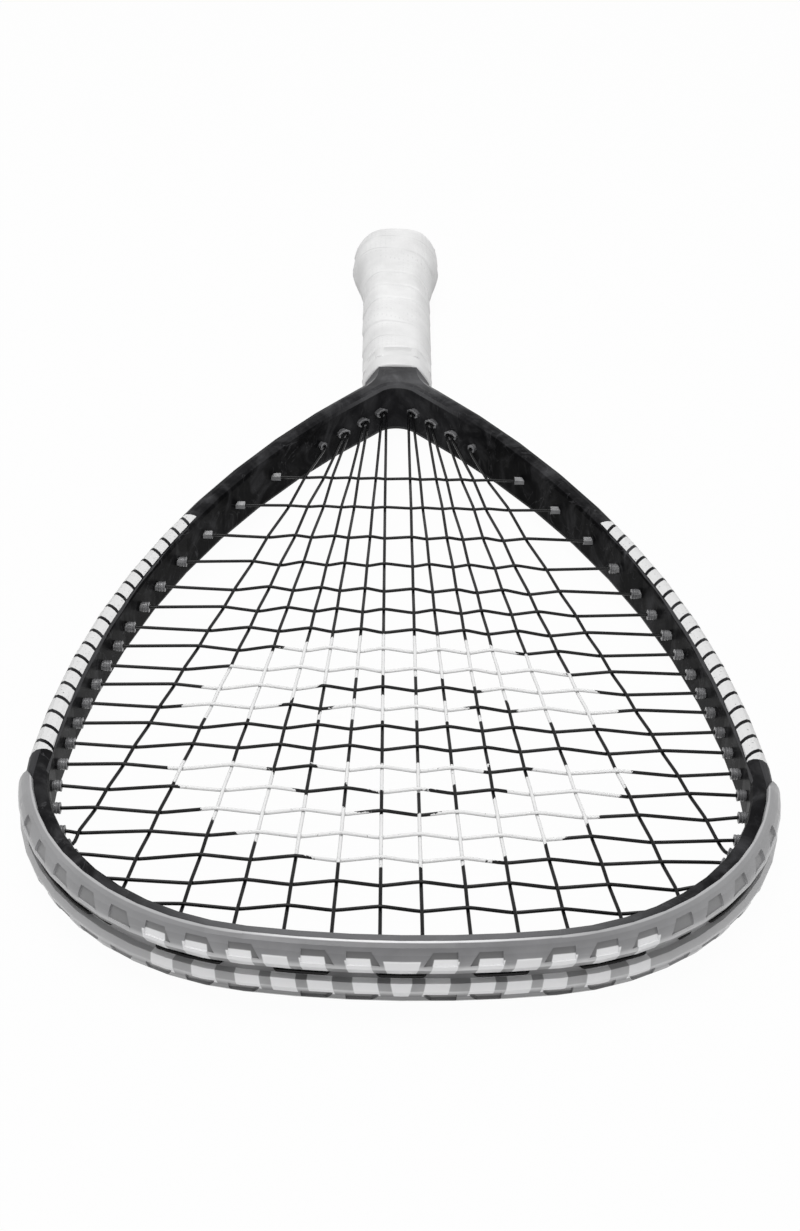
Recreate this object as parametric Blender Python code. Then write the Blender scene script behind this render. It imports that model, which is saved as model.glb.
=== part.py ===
"""Racquetball racket with a teardrop head, in metres.

The strings lie in the plane Z = 0, the tip points along -Y and the butt along +Y.
Plan positions are written as (x, along), where along is measured from the tip of the
bumper, and are centred on the overall length when the meshes are made.
"""
import math

import bmesh
import bpy
from mathutils import Vector

MM = 0.001

# Overall sizes
OVERALL_LENGTH = 556.0 * MM
HEAD_HALF_WIDTH = 117.8 * MM
THROAT_ALONG = 376.6 * MM
NECK_LENGTH = 17.2 * MM

# Head outline: tip, corner, limb and throat arcs of the inner wall, each tangent to the next
TIP_RADIUS = 333.0 * MM
CORNER_RADIUS = 82.6 * MM
LIMB_RADIUS = 456.0 * MM
THROAT_RADIUS = 9.3 * MM
LIMB_RADIUS_OUTSIDE = 466.0 * MM
NECK_FILLET = 26.0 * MM

# Tube section
TUBE_WIDTH = 8.7 * MM
THROAT_TUBE_WIDTH = 10.6 * MM
HALF_BEAM_HEAD = 10.5 * MM
HALF_BEAM_NECK = 12.0 * MM
BEAM_GROWS_FROM = 230.0 * MM
INNER_ROUNDING = 2.2 * MM
OUTER_ROUNDING = 5.2 * MM
GROOVE_HALF_WIDTH = 3.2 * MM
GROOVE_DEPTH = 2.9 * MM
GROOVE_DRAFT = 0.2 * MM
GROOVE_LAND = 0.4 * MM
GROOVE_RUN_OUT = 7.0 * MM

# Neck and shaft
NECK_HALF_WIDTH = 14.8 * MM
NECK_TOP_HALF_WIDTH = 8.7 * MM
SHAFT_HALF_WIDTH = 8.6 * MM
SHAFT_HALF_THICKNESS = 6.3 * MM
SHAFT_ROUNDING = 2.4 * MM

# Clearances
SEAT_GAP = 0.3 * MM
STRING_GAP = 0.33 * MM

# Strings
STRING_DIAMETER = 1.25 * MM
MAIN_SHARES = (0.056, 0.185, 0.3124, 0.4465, 0.5917, 0.7564, 0.9075)
LAST_CROSS = 32.8 * MM
CROSS_PITCH = 12.0 * MM
EVEN_CROSSES = 12
THROAT_PITCH_SHARES = (0.0614, 0.0614, 0.0666, 0.0708, 0.0888, 0.1006, 0.1161, 0.1171)
THROAT_HOLES = [x * MM for x in (8.3, 16.4, 25.0, 34.0)]
THROAT_HOLE_TILTS = (5, 10, 14, 10)
CORNER_HOLE_RISE = 0.45 * MM
LOOP_SIDE_STEP = 1.15 * MM
PAIR_HALF_SPREAD_MOUTH = 1.36 * MM
PAIR_HALF_SPREAD_EXIT = 1.38 * MM
CROSSING_DISTANCE = STRING_DIAMETER + 0.27 * MM
TIGHT_PAIR = 5.2 * MM
TIE_OFF_LENGTH = 5.0 * MM

# Grommets
BARREL_RADIUS = 1.85 * MM
BARREL_SIDES = 6
BARREL_REACH = 3.2 * MM
MOUTH_LEAD = 0.6 * MM
STRIP_THICKNESS = 0.8 * MM
STRIP_HALF_WIDTH = 2.7 * MM
STRIP_END_MARGIN = 5.0 * MM
FUNNEL_WALL = 0.6 * MM
FUNNEL_REACH = 2.6 * MM
FUNNEL_SIDES = 8
FUNNEL_LIP = 0.35 * MM
FUNNEL_BAR_THICKNESS = 0.75 * MM

# Bumper
BUMPER_THICKNESS = 1.45 * MM
BUMPER_LIP_DEPTH = 3.8 * MM
BUMPER_END_LIP_DEPTH = 2.6 * MM
BUMPER_CROSS_COUNT = 5
CHANNEL_HALF_WIDTH = 2.05 * MM
CHANNEL_MOUTH_HALF_WIDTH = 4.3 * MM
CHANNEL_BEVEL_DEPTH = 1.25 * MM
TIP_POCKETS = 2
CORNER_POCKETS = 8
FIRST_POCKET = 11.6 * MM
POCKET_PITCH = 13.75 * MM
POCKET_LAND = 22.2 * MM
FIRST_POCKET_LENGTH = 10.4 * MM
LAST_POCKET_LENGTH = 7.8 * MM
POCKET_SLANT = 2.8 * MM
POCKET_LOW = 5.3 * MM
POCKET_HIGH = 8.7 * MM
POCKET_DEPTH = 0.75 * MM

# Handle
PALLET_START_HALF = (14.5 * MM, 11.6 * MM)
PALLET_END_HALF = (15.7 * MM, 12.2 * MM)
OCTAGON_TOP_SHARE = 0.55
OCTAGON_SIDE_SHARE = 0.3
PALLET_END_WALL = 6.0 * MM
TAPE_THICKNESS = 1.7 * MM
TAPE_STEP = 0.55 * MM
TAPE_PITCH = 19.0 * MM
COLLAR_LENGTH = 9.5 * MM
COLLAR_THICKNESS = 1.7 * MM
BAND_LENGTH = 8.4 * MM
BAND_THICKNESS = 0.5 * MM
BAND_EASE = 1.5 * MM
FLARE_LENGTH = 57.0 * MM
FLARE_RISE = 35.0 * MM
FLARE_HALF = (20.6 * MM, 13.6 * MM)
CAP_LENGTH = 50.0 * MM
CAP_FRONT_WALL = 1.0 * MM
CAP_END_WALL = 3.0 * MM
CAP_EDGE_ROUNDING = 4.0 * MM
CORD_HOLE_RADIUS = 4.0 * MM
CORD_ROOM = 7.2 * MM
CORNER_SHARE = 0.2
GRIP_END_SETBACK = 1.5 * MM

# Facet counts
TIP_STEPS = 3
CORNER_STEPS = 11
LIMB_STEPS = 10
THROAT_STEPS = 5
FILLET_STEPS = 2
ROUNDING_STEPS = 4
CAP_STEPS = 5
TAPE_ROWS_PER_TURN = 3

BASE_FACE = GROOVE_DEPTH - SEAT_GAP
FLOOR_DEPTH = BASE_FACE - STRIP_THICKNESS
RUN_DEPTH = FLOOR_DEPTH - STRING_GAP - STRING_DIAMETER / 2
HEX_FLAT = math.cos(math.pi / BARREL_SIDES)
STRING_BORE = (STRING_DIAMETER / 2 + STRING_GAP) / HEX_FLAT
FRAME_BORE = BARREL_RADIUS + SEAT_GAP / HEX_FLAT
INNER_TIP = TUBE_WIDTH + SEAT_GAP + BUMPER_THICKNESS
GRIP_START = THROAT_ALONG + NECK_LENGTH
PALLET_END = OVERALL_LENGTH - CAP_END_WALL - CORD_ROOM
PALLET_MIDDLE = (GRIP_START + PALLET_END) / 2
SHAFT_END = PALLET_END - PALLET_END_WALL
COLLAR_END = GRIP_START + COLLAR_LENGTH
TAPE_START = COLLAR_END + SEAT_GAP
TAPE_END = OVERALL_LENGTH - GRIP_END_SETBACK
BAND_END = TAPE_START + BAND_LENGTH
PRESSED_THICKNESS = TAPE_THICKNESS - SEAT_GAP - BAND_THICKNESS
MAINS_AT_TIP = [share * HEAD_HALF_WIDTH for share in MAIN_SHARES]
NECK_EDGE = NECK_HALF_WIDTH - NECK_TOP_HALF_WIDTH


# Plan geometry

def heading(angle):
    """Outward normal of the hoop: 0 points to the tip, 90 degrees to the side."""
    return Vector((math.sin(angle), -math.cos(angle)))


def heading_angle(vector):
    """Angle of an outward normal, from a little below 0 at the tip to 180 at the throat."""
    angle = math.atan2(vector.x, -vector.y)
    return angle + 2 * math.pi if angle < -math.pi / 2 else angle


def inside_tangent_centre(centre_a, radius_a, centre_b, radius_b, radius):
    """Centre of the large circle that both smaller circles touch from inside."""
    reach_a = radius - radius_a
    reach_b = radius - radius_b
    gap = centre_b - centre_a
    distance = gap.length
    along = (reach_a ** 2 - reach_b ** 2 + distance ** 2) / (2 * distance)
    offset = math.sqrt(reach_a ** 2 - along ** 2)
    direction = gap / distance
    side = Vector((direction.y, -direction.x))
    if side.x > 0:
        side = -side
    return centre_a + direction * along + side * offset


class Arc:
    """Part of the outline; its points are listed by the outward normal's angle."""

    def __init__(self, centre, radius, start, end):
        self.centre = centre
        self.radius = radius
        self.start = start
        self.end = end

    def point(self, angle, depth=0.0):
        return self.centre + heading(angle) * (self.radius - depth)

    def samples(self, steps):
        turn = self.end - self.start
        angles = [self.start + turn * i / steps for i in range(steps + 1)]
        return [(self.point(angle), heading(angle)) for angle in angles]


def hoop_arcs(growth, throat_growth, limb_radius):
    """Tip, corner and limb arcs of the right half, offset outwards by the growth."""
    tip = Vector((0, INNER_TIP + TIP_RADIUS))
    inset = TIP_RADIUS - CORNER_RADIUS
    corner_x = HEAD_HALF_WIDTH - CORNER_RADIUS
    corner = Vector((corner_x, tip.y - math.sqrt(inset ** 2 - corner_x ** 2)))
    throat = Vector((0, THROAT_ALONG - THROAT_RADIUS))
    limb = inside_tangent_centre(corner, CORNER_RADIUS + growth, throat,
                                 THROAT_RADIUS + throat_growth, limb_radius)
    first = heading_angle(corner - tip)
    second = heading_angle(corner - limb)
    third = heading_angle(throat - limb)
    return [
        Arc(tip, TIP_RADIUS + growth, 0.0, first),
        Arc(corner, CORNER_RADIUS + growth, first, second),
        Arc(limb, limb_radius, second, third),
        Arc(throat, THROAT_RADIUS + throat_growth, third, math.pi),
    ]


INNER = hoop_arcs(0.0, 0.0, LIMB_RADIUS)
OUTER = hoop_arcs(TUBE_WIDTH, THROAT_TUBE_WIDTH, LIMB_RADIUS_OUTSIDE)[:3]


def neck_fillet():
    """Concave arc that joins the outside of the limb to the side of the neck."""
    limb = OUTER[2]
    centre_x = NECK_HALF_WIDTH + NECK_FILLET
    reach = limb.radius + NECK_FILLET
    rise = math.sqrt(reach ** 2 - (centre_x - limb.centre.x) ** 2)
    centre = Vector((centre_x, limb.centre.y + rise))
    limb.end = heading_angle(centre - limb.centre)
    return Arc(centre, -NECK_FILLET, limb.end, math.pi / 2)


FILLET = neck_fillet()
OUTLINE = OUTER + [FILLET]


def outer_arc_near(point):
    """The outer arc that a point inside the tube lies under."""
    for arc in OUTER:
        angle = heading_angle(point - arc.centre)
        if angle <= arc.end:
            return arc
    return FILLET


def depth_below_outline(point):
    arc = outer_arc_near(point)
    if arc is FILLET:
        return (point - arc.centre).length - NECK_FILLET
    return arc.radius - (point - arc.centre).length


def outline_angle(point):
    arc = outer_arc_near(point)
    if arc is FILLET:
        return heading_angle(arc.centre - point)
    return heading_angle(point - arc.centre)


def outline_point(angle, depth=0.0):
    """Point under the outside of the head at a normal's angle."""
    for arc in OUTER:
        if angle <= arc.end:
            return arc.point(angle, depth)
    return OUTER[2].point(angle, depth)


def reach_depth(start, direction, depth):
    """Walk from inside the head until the outline is only the given depth away."""
    low = 0.0
    high = 40.0 * MM
    for _ in range(40):
        middle = (low + high) / 2
        if depth_below_outline(start + direction * middle) > depth:
            low = middle
        else:
            high = middle
    return start + direction * low


def inner_angle_for(test):
    """Angle on the inner wall at which test changes from true to false."""
    low = 0.0
    high = math.pi
    for _ in range(50):
        middle = (low + high) / 2
        if test(middle):
            low = middle
        else:
            high = middle
    return low


def inner_point(angle, depth=0.0):
    for arc in INNER:
        if angle <= arc.end:
            return arc.point(angle, depth)
    return INNER[3].point(math.pi, depth)


def at(plan, z=0.0, side=1):
    return Vector((plan.x * side, plan.y - OVERALL_LENGTH / 2, z))


def smooth(value):
    value = min(max(value, 0.0), 1.0)
    return value * value * (3 - 2 * value)


def half_beam(along):
    """Half the thickness of the tube, which grows from the head to the neck."""
    share = smooth((along - BEAM_GROWS_FROM) / (GRIP_START - BEAM_GROWS_FROM))
    return HALF_BEAM_HEAD + (HALF_BEAM_NECK - HALF_BEAM_HEAD) * share


# Holes for the strings

class Hole:
    """A string hole on the right half: wall point, direction outwards and height."""

    def __init__(self, wall, direction, z=0.0, reach=BARREL_REACH):
        self.wall = wall
        self.direction = direction
        self.z = z
        self.mouth = wall - direction * reach
        self.bend = self.mouth - direction * MOUTH_LEAD
        self.base = reach_depth(wall, direction, (BASE_FACE + FLOOR_DEPTH) / 2)
        self.floor = reach_depth(wall, direction, FLOOR_DEPTH)
        self.corner = reach_depth(wall, direction, RUN_DEPTH)
        self.angle = outline_angle(self.corner)
        self.normal = heading(self.angle)


def square_hole(angle, z=0.0, reach=BARREL_REACH):
    """A hole square to the inner wall."""
    return Hole(inner_point(angle), heading(angle), z, reach)


def cross_positions():
    """Along-values of the cross strings, from the tip to the throat."""
    values = [LAST_CROSS + CROSS_PITCH * i for i in range(EVEN_CROSSES)]
    room = THROAT_ALONG - values[-1]
    for share in THROAT_PITCH_SHARES:
        values.append(values[-1] + share * room)
    return values


LEAD = BARREL_REACH + MOUTH_LEAD
CROSSES = cross_positions()
BUMPER_END_ALONG = (CROSSES[BUMPER_CROSS_COUNT - 1] + CROSSES[BUMPER_CROSS_COUNT]) / 2
SQUARE_CROSSES = 3


def tip_main_holes():
    holes = []
    for index, x in enumerate(MAINS_AT_TIP):
        angle = inner_angle_for(lambda a, x=x: inner_point(a, LEAD).x < x and a < math.pi / 2)
        z = -CORNER_HOLE_RISE if index >= 5 else 0.0
        holes.append(square_hole(angle, z))
    return holes


def cross_holes():
    """The corner crosses leave square to the wall, and the others along the string."""
    holes = []
    for index, y in enumerate(CROSSES):
        if index < SQUARE_CROSSES:
            angle = inner_angle_for(lambda a, y=y: inner_point(a, LEAD).y < y)
            holes.append(square_hole(angle, CORNER_HOLE_RISE))
        else:
            angle = inner_angle_for(lambda a, y=y: inner_point(a).y < y)
            holes.append(Hole(inner_point(angle), Vector((1, 0))))
    return holes


def throat_holes():
    """Holes near the throat, turned a little from square towards the strings."""
    holes = []
    for x, tilt in zip(THROAT_HOLES, THROAT_HOLE_TILTS):
        angle = inner_angle_for(lambda a, x=x: a < math.pi / 2 or inner_point(a).x > x)
        direction = heading(angle + math.radians(tilt))
        holes.append(Hole(inner_point(angle), direction, 0.0, FUNNEL_REACH))
    return holes


MAIN_HOLES = tip_main_holes()
CROSS_HOLES = cross_holes()
THROAT = throat_holes()
STRIP_HOLES = CROSS_HOLES[BUMPER_CROSS_COUNT:]
BUMPER_HOLES = CROSS_HOLES[:BUMPER_CROSS_COUNT] + MAIN_HOLES
CROSS_ALONGS = [hole.bend.y for hole in CROSS_HOLES]


# Mesh helpers

def add_object(name, bm, smooth_shaded=True):
    mesh = bpy.data.meshes.new(name)
    bmesh.ops.recalc_face_normals(bm, faces=bm.faces)
    bm.to_mesh(mesh)
    bm.free()
    if smooth_shaded:
        mesh.shade_smooth()
        mesh.set_sharp_from_angle(angle=math.radians(35))
    obj = bpy.data.objects.new(name, mesh)
    bpy.context.scene.collection.objects.link(obj)
    return obj


def add_cutter(name, bm):
    cutter = add_object(name, bm, smooth_shaded=False)
    cutter.hide_render = True
    cutter.display_type = "WIRE"
    return cutter


def boolean(obj, other, operation):
    modifier = obj.modifiers.new(other.name, "BOOLEAN")
    modifier.operation = operation
    modifier.solver = "EXACT"
    modifier.object = other


def bridge_rows(bm, rows, closed):
    """Quads between neighbouring rows of vertices."""
    for first, second in zip(rows, rows[1:]):
        count = len(first)
        last = count if closed else count - 1
        for i in range(last):
            j = (i + 1) % count
            bm.faces.new((first[i], first[j], second[j], second[i]))


def loft(rows):
    """A closed skin through rings of points."""
    bm = bmesh.new()
    add_prism(bm, rows)
    return bm


def close_loop(bm, rows):
    """Rings of points joined into a tube whose last ring meets its first."""
    rings = [[bm.verts.new(point) for point in row] for row in rows]
    bridge_rows(bm, rings + [rings[0]], closed=True)


def sideways(direction, amount, normal=None):
    """Step across a hole's axis; with a normal, the step stays level with the wall."""
    offset = Vector((direction.y, -direction.x)) * amount
    if normal is None:
        return offset
    return offset - direction * (offset.dot(normal) / direction.dot(normal))


def ring_about(plan, direction, z, radius, side, sides=BARREL_SIDES, wide=0.0, normal=None):
    """Ring of points round a hole's axis; with a normal, its plane follows the wall."""
    points = []
    for i in range(sides):
        turn = 2 * math.pi * (i + 0.5) / sides
        offset = sideways(direction, math.cos(turn) * (radius + wide), normal)
        points.append(at(plan + offset, z + math.sin(turn) * radius, side))
    return points


def add_prism(bm, rings):
    verts = [[bm.verts.new(point) for point in ring] for ring in rings]
    bridge_rows(bm, verts, closed=True)
    bm.faces.new(verts[0])
    bm.faces.new(verts[-1])


def mirrored(bm):
    """Add the left half and join it along the middle plane."""
    geometry = bm.verts[:] + bm.edges[:] + bm.faces[:]
    copy = bmesh.ops.duplicate(bm, geom=geometry)
    verts = [item for item in copy["geom"] if isinstance(item, bmesh.types.BMVert)]
    for vert in verts:
        vert.co.x = -vert.co.x
    bmesh.ops.remove_doubles(bm, verts=bm.verts, dist=0.001 * MM)


# Frame

def outer_side_profile(rounding, beam, depth, chamfer=0.0):
    """Depth and height of the outside of the tube, from its flat down to its middle.

    The edge between them is round, and turns into a flat one as the chamfer nears 1.
    """
    land = GROOVE_HALF_WIDTH + GROOVE_LAND
    points = []
    for i in range(ROUNDING_STEPS + 1):
        turn = math.pi / 2 * i / ROUNDING_STEPS
        straight = 1 - i / ROUNDING_STEPS
        inset = 1 - math.sin(turn) + (straight - 1 + math.sin(turn)) * chamfer
        rise = math.cos(turn) + (straight - math.cos(turn)) * chamfer
        points.append((rounding * inset, land + (beam - land) * rise))
    points.append((0.0, GROOVE_HALF_WIDTH))
    points.append((depth, GROOVE_HALF_WIDTH - GROOVE_DRAFT))
    return points


def outer_half_row(outer, rounding, beam, depth, chamfer=0.0):
    point, normal = outer
    profile = outer_side_profile(rounding, beam, depth, chamfer)
    top = [at(point - normal * inset, z) for inset, z in profile]
    bottom = [at(point - normal * inset, -z) for inset, z in reversed(profile)]
    return top, bottom


def neck_share(along):
    """How far the rounded outside has turned into the neck's eight-sided section."""
    start = FILLET.point(FILLET.start).y
    return smooth((along - start) / (FILLET.centre.y - start))


def tube_row(inner, outer, depth):
    """One section of the tube, from the inner wall's top over the outside to its bottom."""
    point, normal = inner
    beam = half_beam(point.y)
    rounding = []
    for i in range(FILLET_STEPS):
        turn = math.pi / 2 * i / FILLET_STEPS
        inset = INNER_ROUNDING * (1 - math.cos(turn))
        rounding.append((inset, beam - INNER_ROUNDING * (1 - math.sin(turn))))
    rounding.append((INNER_ROUNDING, beam))
    start = [at(point + normal * inset, z) for inset, z in rounding]
    end = [at(point + normal * inset, -z) for inset, z in reversed(rounding)]
    share = neck_share(outer[0].y)
    round_part = OUTER_ROUNDING + (NECK_EDGE - OUTER_ROUNDING) * share
    top, bottom = outer_half_row(outer, round_part, half_beam(outer[0].y), depth, share)
    return start + top + bottom + end


def neck_row(along_inner, outer, rounding, beam, chamfer):
    """A section of the neck or shaft, whose rows start and end on the middle plane."""
    top, bottom = outer_half_row(outer, rounding, beam, 0.0, chamfer)
    middle = Vector((0, along_inner))
    return [at(middle, beam)] + top + bottom + [at(middle, -beam)]


def groove_depth_at(along):
    """The string groove runs out where the limb turns into the neck."""
    fillet_end = FILLET.centre.y
    share = smooth((fillet_end - along) / GROOVE_RUN_OUT)
    return GROOVE_DEPTH * share


def head_stations():
    """Matching points and normals of the inner wall and the outside."""
    steps = (TIP_STEPS, CORNER_STEPS, LIMB_STEPS, THROAT_STEPS)
    stations = []
    for inner_arc, outer_arc, count in zip(INNER, OUTLINE, steps):
        pairs = list(zip(inner_arc.samples(count), outer_arc.samples(count)))
        stations += pairs if not stations else pairs[1:]
    return stations


def frame_mesh():
    bm = bmesh.new()
    head = [tube_row(inner, outer, groove_depth_at(outer[0].y)) for inner, outer in head_stations()]
    head = [[bm.verts.new(point) for point in row] for row in head]
    bridge_rows(bm, head, closed=True)

    side = Vector((1, 0))
    neck_end = (Vector((NECK_HALF_WIDTH, GRIP_START)), side)
    shaft_start = (Vector((SHAFT_HALF_WIDTH, GRIP_START)), side)
    shaft_tip = (Vector((SHAFT_HALF_WIDTH, SHAFT_END)), side)
    neck = [
        neck_row(GRIP_START, neck_end, NECK_EDGE, HALF_BEAM_NECK, 1.0),
        neck_row(GRIP_START, shaft_start, SHAFT_ROUNDING, SHAFT_HALF_THICKNESS, 0.0),
        neck_row(SHAFT_END, shaft_tip, SHAFT_ROUNDING, SHAFT_HALF_THICKNESS, 0.0),
    ]
    neck = [[bm.verts.new(point) for point in row] for row in neck]
    throat_row = head[-1][FILLET_STEPS:-FILLET_STEPS]
    bridge_rows(bm, [throat_row] + neck, closed=False)
    bm.faces.new(neck[-1])
    mirrored(bm)
    return bm


def frame_bores():
    """Every string hole of the frame, on both sides."""
    bm = bmesh.new()
    past_wall = 3.5 * MM
    in_groove = FLOOR_DEPTH - 0.4 * MM
    for side in (1, -1):
        for hole in CROSS_HOLES + MAIN_HOLES:
            start = hole.wall - hole.direction * past_wall
            end = reach_depth(hole.wall, hole.direction, in_groove)
            add_prism(bm, [
                ring_about(start, hole.direction, hole.z, FRAME_BORE, side),
                ring_about(end, hole.direction, hole.z, FRAME_BORE, side, normal=hole.normal),
            ])
        for index, hole in enumerate(THROAT):
            start = hole.wall - hole.direction * past_wall
            end = reach_depth(hole.wall, hole.direction, in_groove)
            radius = funnel_radius(FUNNEL_WALL + SEAT_GAP)
            add_prism(bm, [
                ring_about(start, hole.direction, 0, radius, side, FUNNEL_SIDES,
                           funnel_wide(index)),
                ring_about(end, hole.direction, 0, radius, side, FUNNEL_SIDES,
                           funnel_wide(index), hole.normal),
            ])
    return bm


# Throat grommets

FUNNEL_FLAT = math.cos(math.pi / FUNNEL_SIDES)


def funnel_radius(extra=0.0):
    """Half the height of a throat funnel's bore, or of its outside with the wall as extra."""
    return (STRING_DIAMETER / 2 + STRING_GAP + extra) / FUNNEL_FLAT


def funnel_wide(index, spread=PAIR_HALF_SPREAD_EXIT):
    """Extra width of a funnel that two strings share; the last one holds a single string."""
    return 0.0 if index == len(THROAT_HOLES) - 1 else spread / FUNNEL_FLAT


def throat_grommet(name, hole, index, side):
    """An oval funnel from the groove to just inside the wall, with a rounded lip."""
    bore = funnel_radius()
    wall = funnel_radius(FUNNEL_WALL)
    flange = min(wall + 0.6 * MM, STRIP_HALF_WIDTH)
    exit_wide = funnel_wide(index)
    mouth_wide = funnel_wide(index, PAIR_HALF_SPREAD_MOUTH)
    neck = hole.wall - hole.direction * (FUNNEL_REACH * 0.45)
    lip = hole.mouth + hole.direction * FUNNEL_LIP
    foot = reach_depth(hole.wall, hole.direction, BASE_FACE - 0.2 * MM)

    def ring(plan, radius, wide, normal=None):
        return ring_about(plan, hole.direction, 0, radius, side, FUNNEL_SIDES, wide, normal)

    rows = [
        ring(hole.floor, flange, exit_wide, hole.normal),
        ring(foot, flange, exit_wide, hole.normal),
        ring(foot, wall, exit_wide, hole.normal),
        ring(neck, wall, exit_wide),
        ring(lip, wall + FUNNEL_LIP, mouth_wide),
        ring(hole.mouth, wall, mouth_wide),
        ring(hole.mouth, bore, mouth_wide),
        ring(hole.floor, bore, exit_wide, hole.normal),
    ]
    bm = bmesh.new()
    close_loop(bm, rows)
    return add_object(name, bm)


def funnel_bar(name, hole, side):
    """The bar across the funnel's outer end that the string pair turns round."""
    half = FUNNEL_BAR_THICKNESS / 2
    reach = funnel_radius(FUNNEL_WALL / 2)
    start = hole.floor - hole.direction * 1.5 * MM
    rows = []
    for level in (-reach, reach):
        row = []
        for plan, amount in ((start, -half), (start, half), (hole.floor, half), (hole.floor, -half)):
            row.append(at(plan + sideways(hole.direction, amount, hole.normal), level, side))
        rows.append(row)
    return add_cutter(name, loft(rows))


# Grommet strips and bumper

def barrel_mesh(holes, sides, inner_radius=None):
    """Barrels, or the string bores through them when a radius is given."""
    bm = bmesh.new()
    for side in sides:
        for hole in holes:
            if inner_radius is None:
                start = hole.base
                end = hole.mouth
                radius = BARREL_RADIUS
            else:
                start = reach_depth(hole.wall, hole.direction, FLOOR_DEPTH - 0.5 * MM)
                end = hole.mouth - hole.direction * MM
                radius = inner_radius
            add_prism(bm, [
                ring_about(start, hole.direction, hole.z, radius, side, normal=hole.normal),
                ring_about(end, hole.direction, hole.z, radius, side),
            ])
    return bm


def stations_between(start, end):
    """The frame's own stations on the outside between two angles, ends included."""
    angles = [start]
    for arc, count in zip(OUTER, (TIP_STEPS, CORNER_STEPS, LIMB_STEPS)):
        for i in range(count + 1):
            angle = arc.start + (arc.end - arc.start) * i / count
            if angles[-1] + math.radians(0.5) < angle < end - math.radians(0.5):
                angles.append(angle)
    return angles + [end]


def strip_base(start_angle, end_angle, side):
    """The band of a grommet strip, lying on the groove's floor."""
    rows = []
    for angle in stations_between(start_angle, end_angle):
        low = outline_point(angle, BASE_FACE)
        high = outline_point(angle, FLOOR_DEPTH)
        half = STRIP_HALF_WIDTH
        rows.append([at(low, -half, side), at(high, -half, side),
                     at(high, half, side), at(low, half, side)])
    return loft(rows)


def outline_angle_at(along):
    """Normal's angle of the outside at an along-value on the corner or limb."""
    low = 0.0
    high = OUTER[2].end
    for _ in range(50):
        middle = (low + high) / 2
        if outline_point(middle).y < along:
            low = middle
        else:
            high = middle
    return low


def bumper_section(angle, lip_depth):
    """Section of the bumper: over the shoulder, into the channel and back, both sides."""
    land = GROOVE_HALF_WIDTH + GROOVE_LAND
    top = HALF_BEAM_HEAD
    turn_start = math.asin(1 - lip_depth / OUTER_ROUNDING)
    turn_end = math.acos((CHANNEL_MOUTH_HALF_WIDTH - land) / (top - land))
    outside = []
    inside = []
    for i in range(ROUNDING_STEPS + 1):
        turn = turn_start + (turn_end - turn_start) * i / ROUNDING_STEPS
        depth = OUTER_ROUNDING * (1 - math.sin(turn))
        z = land + (top - land) * math.cos(turn)
        normal = Vector((-math.sin(turn) * (top - land), math.cos(turn) * OUTER_ROUNDING))
        normal.normalize()
        near = Vector((depth, z)) + normal * SEAT_GAP
        far = Vector((depth, z)) + normal * (SEAT_GAP + BUMPER_THICKNESS)
        inside.append((near.x, near.y))
        outside.append((far.x, far.y))
    outer_face = -(SEAT_GAP + BUMPER_THICKNESS)
    outside.append((outer_face + CHANNEL_BEVEL_DEPTH, CHANNEL_HALF_WIDTH))
    outside.append((FLOOR_DEPTH, CHANNEL_HALF_WIDTH))
    inside.append((-SEAT_GAP, STRIP_HALF_WIDTH))
    inside.append((BASE_FACE, STRIP_HALF_WIDTH - GROOVE_DRAFT))
    upper = outside
    lower = [(depth, -z) for depth, z in reversed(outside)]
    back_lower = [(depth, -z) for depth, z in inside]
    back_upper = [(depth, z) for depth, z in reversed(inside)]
    ring = upper + lower + back_lower + back_upper
    return [(outline_point(angle, depth), z) for depth, z in ring]


def bumper_body():
    end = outline_angle_at(BUMPER_END_ALONG)
    corner = math.radians(3.0)
    angles = stations_between(0.0, end - corner) + [end]
    halves = []
    for side in (-1, 1):
        rows = []
        for angle in angles:
            lip = BUMPER_END_LIP_DEPTH if angle == end else BUMPER_LIP_DEPTH
            rows.append([at(plan, z, side) for plan, z in bumper_section(angle, lip)])
        halves.append(rows)
    return loft(list(reversed(halves[0])) + halves[1][1:])


def pocket_spans():
    """Start and end of each pocket on one side, measured along the outside from the tip."""
    centres = [FIRST_POCKET + POCKET_PITCH * i for i in range(TIP_POCKETS)]
    corner_start = centres[-1] + POCKET_LAND
    centres += [corner_start + POCKET_PITCH * i for i in range(CORNER_POCKETS)]
    spans = []
    for index, centre in enumerate(centres):
        share = index / (len(centres) - 1)
        length = FIRST_POCKET_LENGTH + (LAST_POCKET_LENGTH - FIRST_POCKET_LENGTH) * share
        spans.append((centre - length / 2, centre + length / 2))
    return spans


def bumper_pockets():
    """Four-sided recesses above and below the channel; their inner ends slant outwards."""
    bm = bmesh.new()
    floor = SEAT_GAP + BUMPER_THICKNESS - POCKET_DEPTH
    above = floor + POCKET_DEPTH + 1.5 * MM
    for side in (1, -1):
        for level in (1, -1):
            for near, far in pocket_spans():
                rings = []
                for height in (above, floor):
                    ring = []
                    for travel, z in ((near, POCKET_LOW), (far, POCKET_LOW), (far, POCKET_HIGH),
                                      (near + POCKET_SLANT, POCKET_HIGH)):
                        shoulder, lean = shoulder_at(z)
                        plan = outline_point(travel_angle(travel), shoulder - height * lean.x)
                        ring.append(at(plan, (z + height * lean.y) * level, side))
                    rings.append(ring)
                add_prism(bm, rings)
    return bm


def travel_angle(distance):
    """Normal's angle after travelling a distance along the outside from the tip."""
    tip, corner = OUTER[:2]
    tip_length = tip.radius * tip.end
    if distance <= tip_length:
        return distance / tip.radius
    return tip.end + (distance - tip_length) / corner.radius


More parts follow.
